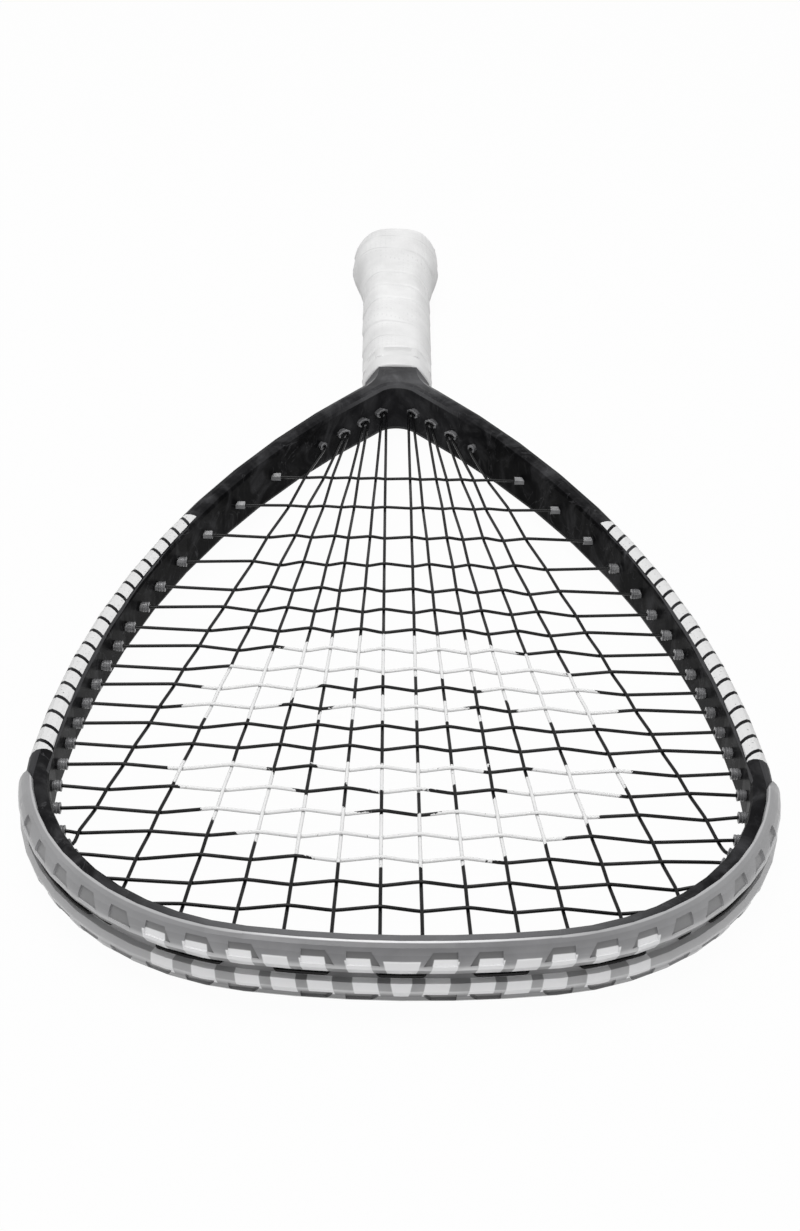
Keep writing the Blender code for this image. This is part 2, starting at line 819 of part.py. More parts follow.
def shoulder_at(z):
    """Depth of the frame's rounded shoulder at a height, and the way out of it."""
    land = GROOVE_HALF_WIDTH + GROOVE_LAND
    rise = HALF_BEAM_HEAD - land
    share = min(max((z - land) / rise, 0.0), 1.0)
    drop = math.sqrt(1 - share ** 2)
    lean = Vector((drop * rise, share * OUTER_ROUNDING)).normalized()
    return OUTER_ROUNDING * (1 - drop), lean


# Strings

def exit_points(hole, side, toward, run_z):
    """The string's turn from a hole into the groove, towards a rising or falling angle."""
    tangent = Vector((-hole.normal.y, hole.normal.x)) * toward
    before = hole.corner - hole.direction * 0.5 * MM
    after = hole.corner + tangent * 0.9 * MM
    return [at(hole.bend, hole.z, side), at(before, hole.z, side),
            at(after, hole.z + (run_z - hole.z) * 0.3, side)]


def groove_run(first, second, side, run_z):
    """Loop from one hole to the next along the groove."""
    toward = 1 if second.angle > first.angle else -1
    points = exit_points(first, side, toward, run_z)
    length = (second.corner - first.corner).length
    steps = max(2, round(length / (10.0 * MM)))
    for i in range(1, steps):
        angle = first.angle + (second.angle - first.angle) * i / steps
        points.append(at(outline_point(angle, RUN_DEPTH), run_z, side))
    points += reversed(exit_points(second, side, -toward, run_z))
    return points


def tie_off(hole, side, toward):
    """A string's end: out of its hole and a short way along the groove."""
    points = exit_points(hole, side, toward, hole.z)
    tangent = Vector((-hole.normal.y, hole.normal.x)) * toward
    points.append(at(hole.corner + tangent * TIE_OFF_LENGTH, hole.z, side))
    return points


def throat_bend(main):
    """Where a main meets its throat funnel; the outer one of a pair takes the outer half."""
    hole = THROAT[main // 2]
    if main == len(MAINS_AT_TIP) - 1:
        return hole.bend
    sign = 1 if main % 2 else -1
    return hole.bend + sideways(hole.direction, PAIR_HALF_SPREAD_MOUTH * sign)


def throat_turn(hole, side, first_sign):
    """Into a throat funnel, round its bar and out again on the other side."""
    ease = hole.corner - hole.direction * 0.35 * MM
    points = []
    for sign in (first_sign, -first_sign):
        inside = sideways(hole.direction, PAIR_HALF_SPREAD_EXIT * sign, hole.normal)
        turned = sideways(hole.direction, PAIR_HALF_SPREAD_EXIT * 0.55 * sign, hole.normal)
        leg = [at(hole.floor + inside, 0, side), at(ease + inside, 0, side),
               at(hole.corner + turned, 0, side)]
        points += leg if sign == first_sign else list(reversed(leg))
    return points


def main_position(main, along):
    """The x of a main at an along-value, or None outside its free length."""
    tip = MAIN_HOLES[main].bend
    top = throat_bend(main)
    if not tip.y < along < top.y:
        return None
    return tip.x + (top.x - tip.x) * (along - tip.y) / (top.y - tip.y)


def pair_spacing(main, along):
    """Distance to the other main of the same throat funnel."""
    other = main ^ 1
    if other >= len(MAINS_AT_TIP):
        return HEAD_HALF_WIDTH
    here = main_position(main, along)
    there = main_position(other, along)
    if here is None or there is None:
        return HEAD_HALF_WIDTH
    return abs(here - there)


def is_over(number, main, side):
    """Whether a cross passes over a main: the two alternate in both directions."""
    return (main + number + (side > 0)) % 2 == 1


def main_level(main, along):
    """Height of a main before it gives way: corner holes sit a little off the middle."""
    tip = MAIN_HOLES[main].bend
    top = throat_bend(main)
    return MAIN_HOLES[main].z * (top.y - along) / (top.y - tip.y)


def crossing_heights(number, main, side, along):
    """Heights of the cross and the main where they pass each other.

    Mains are straight, except close to the throat: there the two of a pair give way
    as far as the cross does.
    """
    spacing = pair_spacing(main, along)
    level = main_level(main, along)
    sign = 1 if is_over(number, main, side) else -1
    d = CROSSING_DISTANCE
    if spacing < TIGHT_PAIR:
        total = d * spacing / math.sqrt(spacing ** 2 - d ** 2)
        return level + sign * total / 2, level - sign * total / 2
    return level + sign * d * spacing / math.sqrt(spacing ** 2 - 4 * d ** 2), level


def main_run(main, side, to_throat):
    """The free length of a main between its bends, with its give near the throat."""
    tip = MAIN_HOLES[main].bend
    points = []
    yielding = False
    for number, along in enumerate(reversed(CROSS_ALONGS)):
        x = main_position(main, along)
        if x is None:
            continue
        height = crossing_heights(number, main, side, along)[1]
        level = main_level(main, along)
        if height != level or yielding:
            points.append(at(Vector((x, along)), height, side))
        yielding = height != level
    points = [at(throat_bend(main), 0, side)] + points + [at(tip, MAIN_HOLES[main].z, side)]
    return list(reversed(points)) if to_throat else points


def main_string_points():
    """One string: up and down the head through every main, left side to right side."""
    last = len(MAINS_AT_TIP) - 1
    order = [(i, -1) for i in range(last, -1, -1)] + [(i, 1) for i in range(last + 1)]
    points = list(reversed(tie_off(THROAT[-1], -1, 1)))[:-1]
    for step in range(0, len(order), 2):
        (first, side), (second, other) = order[step], order[step + 1]
        points += main_run(first, side, False)[:-1]
        if side == other:
            z = -LOOP_SIDE_STEP if max(first, second) > 4 else 0.0
            points += groove_run(MAIN_HOLES[first], MAIN_HOLES[second], side, z)
        else:
            points += tip_middle_run()
        points += main_run(second, other, True)[1:]
        if step + 2 < len(order):
            points += throat_turn(THROAT[second // 2], other, 1 if second % 2 else -1)
    points += tie_off(THROAT[-1], 1, 1)[1:]
    return points


def tip_middle_run():
    """The loop across the middle of the tip, between the two innermost mains."""
    hole = MAIN_HOLES[0]
    left = exit_points(hole, -1, -1, 0.0)
    right = exit_points(hole, 1, -1, 0.0)
    return left + list(reversed(right))


def cross_run(number, along, from_left):
    """A cross string woven over and under the mains, between its two holes."""
    points = []
    for side in (-1, 1):
        for main in range(len(MAINS_AT_TIP)):
            x = main_position(main, along)
            if x is not None:
                height = crossing_heights(number, main, side, along)[0]
                points.append(at(Vector((x, along)), height, side))
    points.sort(key=lambda point: point.x)
    return points if from_left else list(reversed(points))


def cross_string_points():
    """One string: from the throat's right side, back and forth down to the tip."""
    holes = list(reversed(CROSS_HOLES))
    points = list(reversed(tie_off(holes[0], 1, 1)))
    from_left = False
    for number, hole in enumerate(holes):
        points += cross_run(number, hole.bend.y, from_left)
        side = 1 if from_left else -1
        if number == len(holes) - 1:
            points += tie_off(hole, side, -1)
            break
        following = holes[number + 1]
        near_corner = following.z > 0
        z = LOOP_SIDE_STEP if near_corner else 0.0
        points += groove_run(hole, following, side, z)
        from_left = not from_left
    return points


def string_tube(name, points):
    curve = bpy.data.curves.new(name, "CURVE")
    curve.dimensions = "3D"
    curve.bevel_depth = STRING_DIAMETER / 2
    curve.bevel_resolution = 1
    curve.use_fill_caps = True
    spline = curve.splines.new("POLY")
    spline.points.add(len(points) - 1)
    for slot, point in zip(spline.points, points):
        slot.co = (point.x, point.y, point.z, 1.0)
    obj = bpy.data.objects.new(name, curve)
    bpy.context.scene.collection.objects.link(obj)
    return obj


def segment_gap(a, b, c, d):
    """Least distance between two straight segments."""
    first = b - a
    second = d - c
    between = a - c
    aa = first.dot(first)
    bb = first.dot(second)
    cc = second.dot(second)
    dd = first.dot(between)
    ee = second.dot(between)
    determinant = aa * cc - bb * bb
    s = 0.0
    if determinant > 1e-18:
        s = min(max((bb * ee - cc * dd) / determinant, 0.0), 1.0)
    t = min(max((bb * s + ee) / cc, 0.0), 1.0)
    s = min(max((bb * t - dd) / aa, 0.0), 1.0)
    return ((a + first * s) - (c + second * t)).length


def least_gap(points, other=None):
    """Least clear space along one string, or between two strings."""
    least = 1.0
    partner = other or points
    for i in range(len(points) - 1):
        start = 0 if other else i + 1
        travelled = 0.0
        for j in range(start, len(partner) - 1):
            if other is None:
                if travelled < 4 * STRING_DIAMETER:
                    travelled += (partner[j + 1] - partner[j]).length
                    continue
            low = min(partner[j].y, partner[j + 1].y) - max(points[i].y, points[i + 1].y)
            high = min(points[i].y, points[i + 1].y) - max(partner[j].y, partner[j + 1].y)
            if max(low, high) > 3 * STRING_DIAMETER:
                continue
            gap = segment_gap(points[i], points[i + 1], partner[j], partner[j + 1])
            least = min(least, gap)
    return least - STRING_DIAMETER


# Handle

def octagon(half_width, half_height, along):
    """Handle section with a wide top facet, as seen from the butt."""
    top = half_width * OCTAGON_TOP_SHARE
    side = half_height * OCTAGON_SIDE_SHARE
    corners = [(top, half_height), (half_width, side), (half_width, -side), (top, -half_height),
               (-top, -half_height), (-half_width, -side), (-half_width, side), (-top, half_height)]
    return [at(Vector((x, along)), z) for x, z in corners]


def pallet_half_sizes(along):
    """Half width and half height of the pallet, which tapers towards the throat."""
    share = (along - GRIP_START) / (PALLET_END - GRIP_START)
    width = PALLET_START_HALF[0] + (PALLET_END_HALF[0] - PALLET_START_HALF[0]) * share
    height = PALLET_START_HALF[1] + (PALLET_END_HALF[1] - PALLET_START_HALF[1]) * share
    return width, height


def pallet_half(name, level):
    """Upper or lower half of the pallet, with the recess that holds the shaft."""
    start = GRIP_START + SEAT_GAP
    end = PALLET_END
    split = SEAT_GAP / 2 * level
    slot_half = SHAFT_HALF_WIDTH + SEAT_GAP
    slot_height = (SHAFT_HALF_THICKNESS + SEAT_GAP) * level
    slot_end = SHAFT_END + SEAT_GAP
    rows = []
    for along in (start, PALLET_MIDDLE, slot_end, end):
        width, height = pallet_half_sizes(along)
        side = height * OCTAGON_SIDE_SHARE * level
        top = width * OCTAGON_TOP_SHARE
        inner = slot_height if along < end else split
        outline = [(width, split), (width, side), (top, height * level), (-top, height * level),
                   (-width, side), (-width, split), (-slot_half, split), (-slot_half, inner),
                   (slot_half, inner), (slot_half, split)]
        rows.append([at(Vector((x, along)), z) for x, z in outline])
    bm = bmesh.new()
    rings = [[bm.verts.new(point) for point in row] for row in rows]
    bridge_rows(bm, rings[:3], closed=True)
    before, last = rings[2:]
    outer = 6
    for i in range(outer - 1):
        bm.faces.new((before[i], before[i + 1], last[i + 1], last[i]))
    for vert in last[outer:]:
        bm.verts.remove(vert)
    bm.faces.new(rings[0])
    bm.faces.new(last[:outer])
    slot = before[outer:]
    bm.faces.new(slot)
    bm.faces.new((before[5], slot[0], slot[3], before[0], last[0], last[5]))
    return add_object(name, bm, smooth_shaded=False)


def flare(along):
    """Share of the butt's swelling at an along-value."""
    start = OVERALL_LENGTH - FLARE_LENGTH - CAP_EDGE_ROUNDING
    return smooth((along - start) / FLARE_RISE)


def core_half_sizes(along):
    """Half sizes under the grip: the pallet's, swelling to the butt cap's."""
    width, height = pallet_half_sizes(min(along, PALLET_END))
    share = flare(along)
    width += (FLARE_HALF[0] - width) * share
    height += (FLARE_HALF[1] - height) * share
    return width, height


def cap_outside(along):
    """The cap is as large as the flare, and at least its own wall larger than the pallet."""
    width, height = core_half_sizes(along)
    inner_width, inner_height = pallet_half_sizes(PALLET_END)
    wall = SEAT_GAP + CAP_FRONT_WALL
    return max(width, inner_width + wall), max(height, inner_height + wall)


def cap_stations():
    """Along-values of the cap's sides, from its open front to the rounded end."""
    start = OVERALL_LENGTH - CAP_LENGTH
    end = OVERALL_LENGTH - CAP_EDGE_ROUNDING
    return [start + (end - start) * i / CAP_STEPS for i in range(CAP_STEPS + 1)]


def hole_ring(along):
    """Round hole for a wrist cord, in step with the corners of the handle's octagon."""
    points = []
    for x, z in ((1, 2), (2, 1), (2, -1), (1, -2), (-1, -2), (-2, -1), (-2, 1), (-1, 2)):
        direction = Vector((x, z)).normalized() * CORD_HOLE_RADIUS
        points.append(at(Vector((direction.x, along)), direction.y))
    return points


def butt_cap(name):
    """A flared cup over the pallet's end, with a hole for a wrist cord."""
    rows = []
    for along in cap_stations():
        width, height = cap_outside(along)
        rows.append(octagon(width, height, along))
    last_side = cap_stations()[-1]
    width, height = cap_outside(last_side)
    for turn in (30, 60, 90):
        inset = CAP_EDGE_ROUNDING * (1 - math.cos(math.radians(turn)))
        along = last_side + CAP_EDGE_ROUNDING * math.sin(math.radians(turn))
        rows.append(octagon(width - inset, height - inset, along))
    inner_end = OVERALL_LENGTH - CAP_END_WALL
    rows.append(hole_ring(OVERALL_LENGTH))
    rows.append(hole_ring(inner_end))
    width, height = pallet_half_sizes(PALLET_END)
    rows.append(octagon(width + SEAT_GAP, height + SEAT_GAP, inner_end))
    rows.append(octagon(width + SEAT_GAP, height + SEAT_GAP, cap_stations()[0]))
    bm = bmesh.new()
    close_loop(bm, rows)
    return add_object(name, bm)


def grip_core(along):
    """Half sizes of what the grip tape lies on, with its clearance."""
    width, height = core_half_sizes(along)
    if along >= OVERALL_LENGTH - CAP_LENGTH:
        width, height = cap_outside(along)
    return width + SEAT_GAP, height + SEAT_GAP


def sleeve_ring(half_width, half_height, along, cover=None):
    """Octagon with a point on both sides of each corner; covered, its corners are eased.

    The cover is a function that gives the thickness on top of the octagon at an angle.
    """
    corners = [Vector((point.x, point.z)) for point in octagon(half_width, half_height, along)]
    points = []
    for i, corner in enumerate(corners):
        before = corner.lerp(corners[i - 1], CORNER_SHARE)
        after = corner.lerp(corners[(i + 1) % 8], CORNER_SHARE)
        eased = corner.lerp((before + after) / 2, 0.5) if cover else corner
        points += [before, eased, after]
    if cover:
        points = [point * (1 + cover(math.atan2(point.y, point.x)) / point.length)
                  for point in points]
    return [at(Vector((point.x, along)), point.y) for point in points]


def tape_cover(along):
    """Thickness of the tape round the handle: each turn laps over the one before."""
    edge = 0.45 + 0.55 * smooth((TAPE_END - along) / (4.0 * MM))
    loose = smooth((along - BAND_END) / BAND_EASE)

    def cover(turn):
        lap = ((along - TAPE_START) / TAPE_PITCH - turn / (2 * math.pi)) % 1.0
        free = (TAPE_THICKNESS + TAPE_STEP * (0.5 - lap)) * edge
        return PRESSED_THICKNESS + (free - PRESSED_THICKNESS) * loose

    return cover


def grip_wrap(name):
    """Tape wound round the handle, pressed level under the finishing tape."""
    first = BAND_END + BAND_EASE
    count = math.ceil((TAPE_END - first) / TAPE_PITCH * TAPE_ROWS_PER_TURN)
    alongs = [TAPE_START, BAND_END]
    alongs += [first + (TAPE_END - first) * row / count for row in range(count + 1)]
    rows = [sleeve_ring(*grip_core(along), along, tape_cover(along)) for along in alongs]
    front = cap_stations()[0]
    stations = [TAPE_END] + list(reversed(cap_stations()[:-1]))
    rows += [sleeve_ring(*grip_core(along), along) for along in stations]
    rows.append(sleeve_ring(*grip_core(front), front - 0.4 * MM))
    for along in (front - 2.5 * MM, PALLET_MIDDLE, TAPE_START):
        width, height = pallet_half_sizes(along)
        rows.append(sleeve_ring(width + SEAT_GAP, height + SEAT_GAP, along))
    bm = bmesh.new()
    close_loop(bm, rows)
    return add_object(name, bm)


def finishing_tape(name):
    """Adhesive tape that holds down the grip's front end, between the grip and the collar."""
    low = PRESSED_THICKNESS + SEAT_GAP
    rows = []
    for along, depth in ((TAPE_START, low + BAND_THICKNESS), (BAND_END, low + BAND_THICKNESS),
                         (BAND_END, low), (TAPE_START, low)):
        rows.append(sleeve_ring(*grip_core(along), along, lambda turn, depth=depth: depth))
    bm = bmesh.new()
    close_loop(bm, rows)
    return add_object(name, bm)


def grip_collar(name):
    """Rubber collar over the front end of the grip."""
    start = GRIP_START + SEAT_GAP
    end = COLLAR_END
    bead = 0.35 * MM
    outside = [(start, COLLAR_THICKNESS - 0.8 * MM), (start + 0.9 * MM, COLLAR_THICKNESS),
               (end - 1.2 * MM, COLLAR_THICKNESS + bead), (end, COLLAR_THICKNESS - 0.5 * MM)]
    rows = [sleeve_ring(*grip_core(along), along, lambda turn, depth=depth: depth)
            for along, depth in outside]
    rows += [sleeve_ring(*grip_core(along), along) for along in (end, start)]
    bm = bmesh.new()
    close_loop(bm, rows)
    return add_object(name, bm)


# Materials

def material(name, colour, roughness, metallic=0.0, transmission=0.0):
    mat = bpy.data.materials.new(name)
    mat.use_nodes = True
    shader = mat.node_tree.nodes["Principled BSDF"]
    shader.inputs["Base Color"].default_value = (*colour, 1.0)
    shader.inputs["Roughness"].default_value = roughness
    shader.inputs["Metallic"].default_value = metallic
    shader.inputs["Transmission Weight"].default_value = transmission
    return mat


def build():
    for obj in list(bpy.data.objects):
        bpy.data.objects.remove(obj, do_unlink=True)

    frame = add_object("frame", frame_mesh())
    boolean(frame, add_cutter("frame_bores", frame_bores()), "DIFFERENCE")
    frame.data.materials.append(material("frame_carbon", (0.012, 0.012, 0.013), 0.35))

    bumper = add_object("bumper_guard", bumper_body())
    boolean(bumper, add_cutter("bumper_barrels", barrel_mesh(BUMPER_HOLES, (1, -1))), "UNION")
    boolean(bumper, add_cutter("bumper_string_bores",
                               barrel_mesh(BUMPER_HOLES, (1, -1), STRING_BORE)), "DIFFERENCE")
    boolean(bumper, add_cutter("bumper_pockets", bumper_pockets()), "DIFFERENCE")
    bumper.data.materials.append(material("bumper_polymer", (0.28, 0.28, 0.29), 0.3, 0.0, 0.3))

    strip_start = outline_angle_at(BUMPER_END_ALONG + 1.0 * MM)
    strip_end = outline_angle_at(CROSS_HOLES[-1].floor.y + STRIP_END_MARGIN)
    for side, word in ((-1, "left"), (1, "right")):
        strip = add_object(f"grommet_strip_{word}", strip_base(strip_start, strip_end, side))
        boolean(strip, add_cutter(f"strip_barrels_{word}", barrel_mesh(STRIP_HOLES, (side,))), "UNION")
        boolean(strip, add_cutter(f"strip_string_bores_{word}",
                                  barrel_mesh(STRIP_HOLES, (side,), STRING_BORE)), "DIFFERENCE")
        strip.data.materials.append(material(f"strip_nylon_{word}", (0.33, 0.33, 0.34), 0.35))
        for index, hole in enumerate(THROAT):
            name = f"throat_grommet_{word}_{index + 1}"
            grommet = throat_grommet(name, hole, index, side)
            if index < len(THROAT) - 1:
                boolean(grommet, funnel_bar(f"funnel_bar_{word}_{index + 1}", hole, side), "UNION")
            grommet.data.materials.append(material(name, (0.33, 0.33, 0.34), 0.35))

    main_points = main_string_points()
    cross_points = cross_string_points()
    for name, points in (("main_string", main_points), ("cross_string", cross_points)):
        string = string_tube(name, points)
        string.data.materials.append(material(name, (0.006, 0.006, 0.006), 0.4))
        print(f"{name}: least gap to itself {least_gap(points) / MM:.2f} mm")
    print(f"main to cross: least gap {least_gap(main_points, cross_points) / MM:.2f} mm")

    pallet = material("pallet_foam", (0.5, 0.45, 0.35), 0.8)
    for name, level in (("pallet_half_upper", 1), ("pallet_half_lower", -1)):
        pallet_half(name, level).data.materials.append(pallet)
    butt_cap("butt_cap").data.materials.append(material("cap_plastic", (0.6, 0.6, 0.6), 0.45))
    grip_wrap("grip_wrap").data.materials.append(material("grip_tape", (0.8, 0.8, 0.8), 0.6))
    grip_collar("grip_collar").data.materials.append(material("collar_rubber", (0.8, 0.8, 0.8), 0.5))
    band = material("finishing_tape", (0.8, 0.8, 0.8), 0.35)
    finishing_tape("finishing_tape").data.materials.append(band)


build()
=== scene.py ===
"""Looks of a racquetball racket: black carbon head, smoke grey bumper, black strings, white grip."""

import math

import bmesh
import bpy
from mathutils import Matrix, Vector


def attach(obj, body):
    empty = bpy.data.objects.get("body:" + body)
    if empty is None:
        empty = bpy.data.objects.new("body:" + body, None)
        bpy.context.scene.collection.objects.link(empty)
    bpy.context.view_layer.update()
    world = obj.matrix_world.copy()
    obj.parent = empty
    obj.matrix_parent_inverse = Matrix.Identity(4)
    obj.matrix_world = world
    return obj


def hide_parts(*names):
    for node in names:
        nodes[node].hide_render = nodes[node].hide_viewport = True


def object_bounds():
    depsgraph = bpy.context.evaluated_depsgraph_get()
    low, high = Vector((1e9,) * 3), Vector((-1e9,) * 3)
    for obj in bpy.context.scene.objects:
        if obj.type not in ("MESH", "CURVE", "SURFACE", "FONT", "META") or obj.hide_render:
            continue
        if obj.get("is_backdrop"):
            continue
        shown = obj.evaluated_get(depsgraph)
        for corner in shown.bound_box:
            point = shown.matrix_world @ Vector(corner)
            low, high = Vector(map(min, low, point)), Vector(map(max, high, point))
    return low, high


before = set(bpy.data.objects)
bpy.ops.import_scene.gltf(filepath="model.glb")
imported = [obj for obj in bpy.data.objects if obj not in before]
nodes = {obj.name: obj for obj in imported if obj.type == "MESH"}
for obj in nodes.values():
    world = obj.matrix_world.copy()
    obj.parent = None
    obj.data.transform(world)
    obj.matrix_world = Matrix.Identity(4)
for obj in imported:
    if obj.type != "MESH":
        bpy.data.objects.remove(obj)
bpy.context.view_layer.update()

MM = 0.001
HALF_LENGTH = 278 * MM

# Arcs of the head's outline in millimetres: centre as (x, along from the tip), then radius
TIP_ARC = (0.0, 343.5, 341.7)
CORNER_ARC = (35.2, 95.5, 91.3)
LIMB_ARC = (-339.1, 77.4, 466.0)

# Turn of the outline's normal where the tip's and the corner's arc end, and x where the tip's ends
TIP_TURN = math.radians(8.1)
CORNER_TURN = math.radians(92.8)
TIP_REACH = 48.1

# Pockets of the bumper in millimetres round the outline from its middle: the first pocket of each
# evenly spaced row, and the middle of the wider gap between the two rows
POCKET_STARTS = (11.6, 47.55)
POCKET_PITCH = 13.75
WIDE_GAP = 36.45

# Middles of the white bars under the bumper: at the tip, in the gap and behind the first pockets
BAR_CENTRES = (0.0, 11.6, 25.35, WIDE_GAP, 47.55, 61.3, 75.05)


# Colours and nodes

def colour(code):
    """sRGB hex to the linear values that sockets take."""
    channels = []
    for i in (0, 2, 4):
        value = int(code[i:i + 2], 16) / 255
        channels.append(value / 12.92 if value <= 0.04045 else ((value + 0.055) / 1.055) ** 2.4)
    return (*channels, 1.0)


def node(tree, kind, inputs=None, **settings):
    """Add a node with its settings; inputs are values or sockets, by name or number."""
    made = tree.nodes.new(kind)
    for name, value in settings.items():
        setattr(made, name, value)
    for key, value in (inputs or {}).items():
        socket = made.inputs[key]
        if isinstance(value, bpy.types.NodeSocket):
            tree.links.new(value, socket)
        else:
            socket.default_value = value
    return made


def surface(name):
    """A new material, its tree, its Principled shader and the object's own coordinates."""
    material = bpy.data.materials.new(name)
    material.use_nodes = True
    tree = material.node_tree
    shader = tree.nodes["Principled BSDF"]
    return material, tree, shader, node(tree, "ShaderNodeTexCoord").outputs["Object"]


def ramp(tree, value, *stops):
    """Colours over a value from 0 to 1, given as (position, hex)."""
    made = node(tree, "ShaderNodeValToRGB", {"Fac": value})
    elements = made.color_ramp.elements
    while len(elements) < len(stops):
        elements.new(0.5)
    for element, (position, code) in zip(elements, stops):
        element.position = position
        element.color = colour(code)
    return made.outputs["Color"]


def mixed(tree, share, first, second, blend="MIX"):
    """One colour blended into another by a share; a colour is a socket or a hex code."""
    made = node(tree, "ShaderNodeMix", {"Factor": share}, data_type="RGBA", blend_type=blend)
    for socket, value in ((made.inputs[6], first), (made.inputs[7], second)):
        if isinstance(value, str):
            socket.default_value = colour(value)
        else:
            tree.links.new(value, socket)
    return made.outputs[2]


def maths(tree, operation, *values, clamp=False):
    made = node(tree, "ShaderNodeMath", dict(enumerate(values)), operation=operation,
                use_clamp=clamp)
    return made.outputs[0]


def product(tree, first, *others):
    """Values multiplied together."""
    for value in others:
        first = maths(tree, "MULTIPLY", first, value)
    return first


def line(tree, value, slope, start, clamp=False):
    """A straight line over the value."""
    return maths(tree, "MULTIPLY_ADD", value, slope, start, clamp=clamp)


def opposite(tree, value):
    """1 less the value."""
    return maths(tree, "SUBTRACT", 1.0, value)


def distance(tree, value, place):
    return maths(tree, "ABSOLUTE", maths(tree, "SUBTRACT", value, place))


def hypotenuse(tree, first, second):
    return maths(tree, "SQRT", maths(tree, "ADD", product(tree, first, first),
                                     product(tree, second, second)))


def more(tree, value, limit):
    return maths(tree, "GREATER_THAN", value, limit)


def less(tree, value, limit):
    return maths(tree, "LESS_THAN", value, limit)


def within(tree, value, low, high):
    """1 where the value lies between two limits."""
    return less(tree, distance(tree, value, (low + high) / 2), (high - low) / 2)


def rising(tree, value, low, high):
    """Smooth step from 0 at the low value to 1 at the high one."""
    return node(tree, "ShaderNodeMapRange", {"Value": value, "From Min": low, "From Max": high},
                interpolation_type="SMOOTHSTEP").outputs[0]


def falling(tree, value, low, high):
    """Smooth step from 1 at the low value to 0 at the high one."""
    return opposite(tree, rising(tree, value, low, high))


def noise(tree, vector, per_metre, detail=3.0, roughness=0.5, distortion=0.0):
    made = node(tree, "ShaderNodeTexNoise", {
        "Vector": vector, "Scale": per_metre, "Detail": detail,
        "Roughness": roughness, "Distortion": distortion})
    return made.outputs["Fac"]


def vector_maths(tree, operation, *values):
    return node(tree, "ShaderNodeVectorMath", dict(enumerate(values)), operation=operation).outputs


def bump(tree, shader, height, millimetres):
    """Relief on the shader, whose full height is given in millimetres."""
    made = node(tree, "ShaderNodeBump", {
        "Height": height, "Distance": millimetres * MM, "Strength": 1.0})
    tree.links.new(made.outputs["Normal"], shader.inputs["Normal"])


def split(tree, vector):
    return node(tree, "ShaderNodeSeparateXYZ", {0: vector}).outputs


def normal_height(tree):
    """How far the surface's own normal points up, from -1 to 1."""
    return split(tree, node(tree, "ShaderNodeTexCoord").outputs["Normal"])["Z"]


def folded(tree, place):
    """The plan position, with the left half folded onto the right, and the height above."""
    axes = split(tree, place)
    side = maths(tree, "ABSOLUTE", axes["X"])
    plan = node(tree, "ShaderNodeCombineXYZ", {0: side, 1: axes["Y"]}).outputs[0]
    return plan, side, maths(tree, "ABSOLUTE", axes["Z"])


def arc_place(tree, plan, arc):
    """Depth under an arc of the outline, and the turn of its normal from the tip's."""
    x, along, radius = arc
    offset = vector_maths(tree, "SUBTRACT", plan, (x * MM, along * MM - HALF_LENGTH, 0))[0]
    reach = vector_maths(tree, "LENGTH", offset)["Value"]
    axes = split(tree, offset)
    turn = maths(tree, "ARCTAN2", axes["X"], product(tree, axes["Y"], -1.0))
    return maths(tree, "SUBTRACT", radius * MM, reach), turn


def finish(tree, shader, tone, values, height, millimetres):
    """Give the shader its colour, its other values and its relief."""
    tree.links.new(tone, shader.inputs["Base Color"])
    for title, value in values.items():
        shader.inputs[title].default_value = value
    bump(tree, shader, height, millimetres)


# Materials

# Where the frame's looks change along the part, measured from its middle: its paler throat, the
# painted highlight on the arch and the painted light on the neck's top
THROAT_FADE = (50 * MM, 85 * MM)
ARCH_FADE = (66 * MM, 92 * MM)
NECK_FADE = (82 * MM, 98 * MM)

# Bars printed on the limbs, from the corner's end: their pitch round the outline, the white share
# of it, how much they lean with depth, and where they end
LIMB_BAR_PITCH = 8.7 * MM
LIMB_BAR_WHITE = 0.79
LIMB_BAR_LEAN = 0.75
LIMB_BAR_RUN = (-0.3 * MM, 165 * MM)
LIMB_BAR_DEPTHS = (-1 * MM, 8.4 * MM)
LIMB_BAR_BOTTOM = 3.8 * MM

# Paler outer face of the frame beside the corners, and the painted highlight along the limbs' top
CORNER_DEPTH = 4.6 * MM
CORNER_SPAN = (-200 * MM, -174 * MM)
EDGE_DEPTHS = (8.5 * MM, 9.1 * MM)
EDGE_HEIGHTS = (8.2 * MM, 9.9 * MM)
EDGE_SPAN = (-190 * MM, 60 * MM)

# Haze of light on the frame's top along the tip
HAZE_DEPTH = 9.2 * MM
HAZE_HEIGHT = 8.4 * MM
HAZE_END = -200 * MM
HAZE_FADE = (30 * MM, 100 * MM)


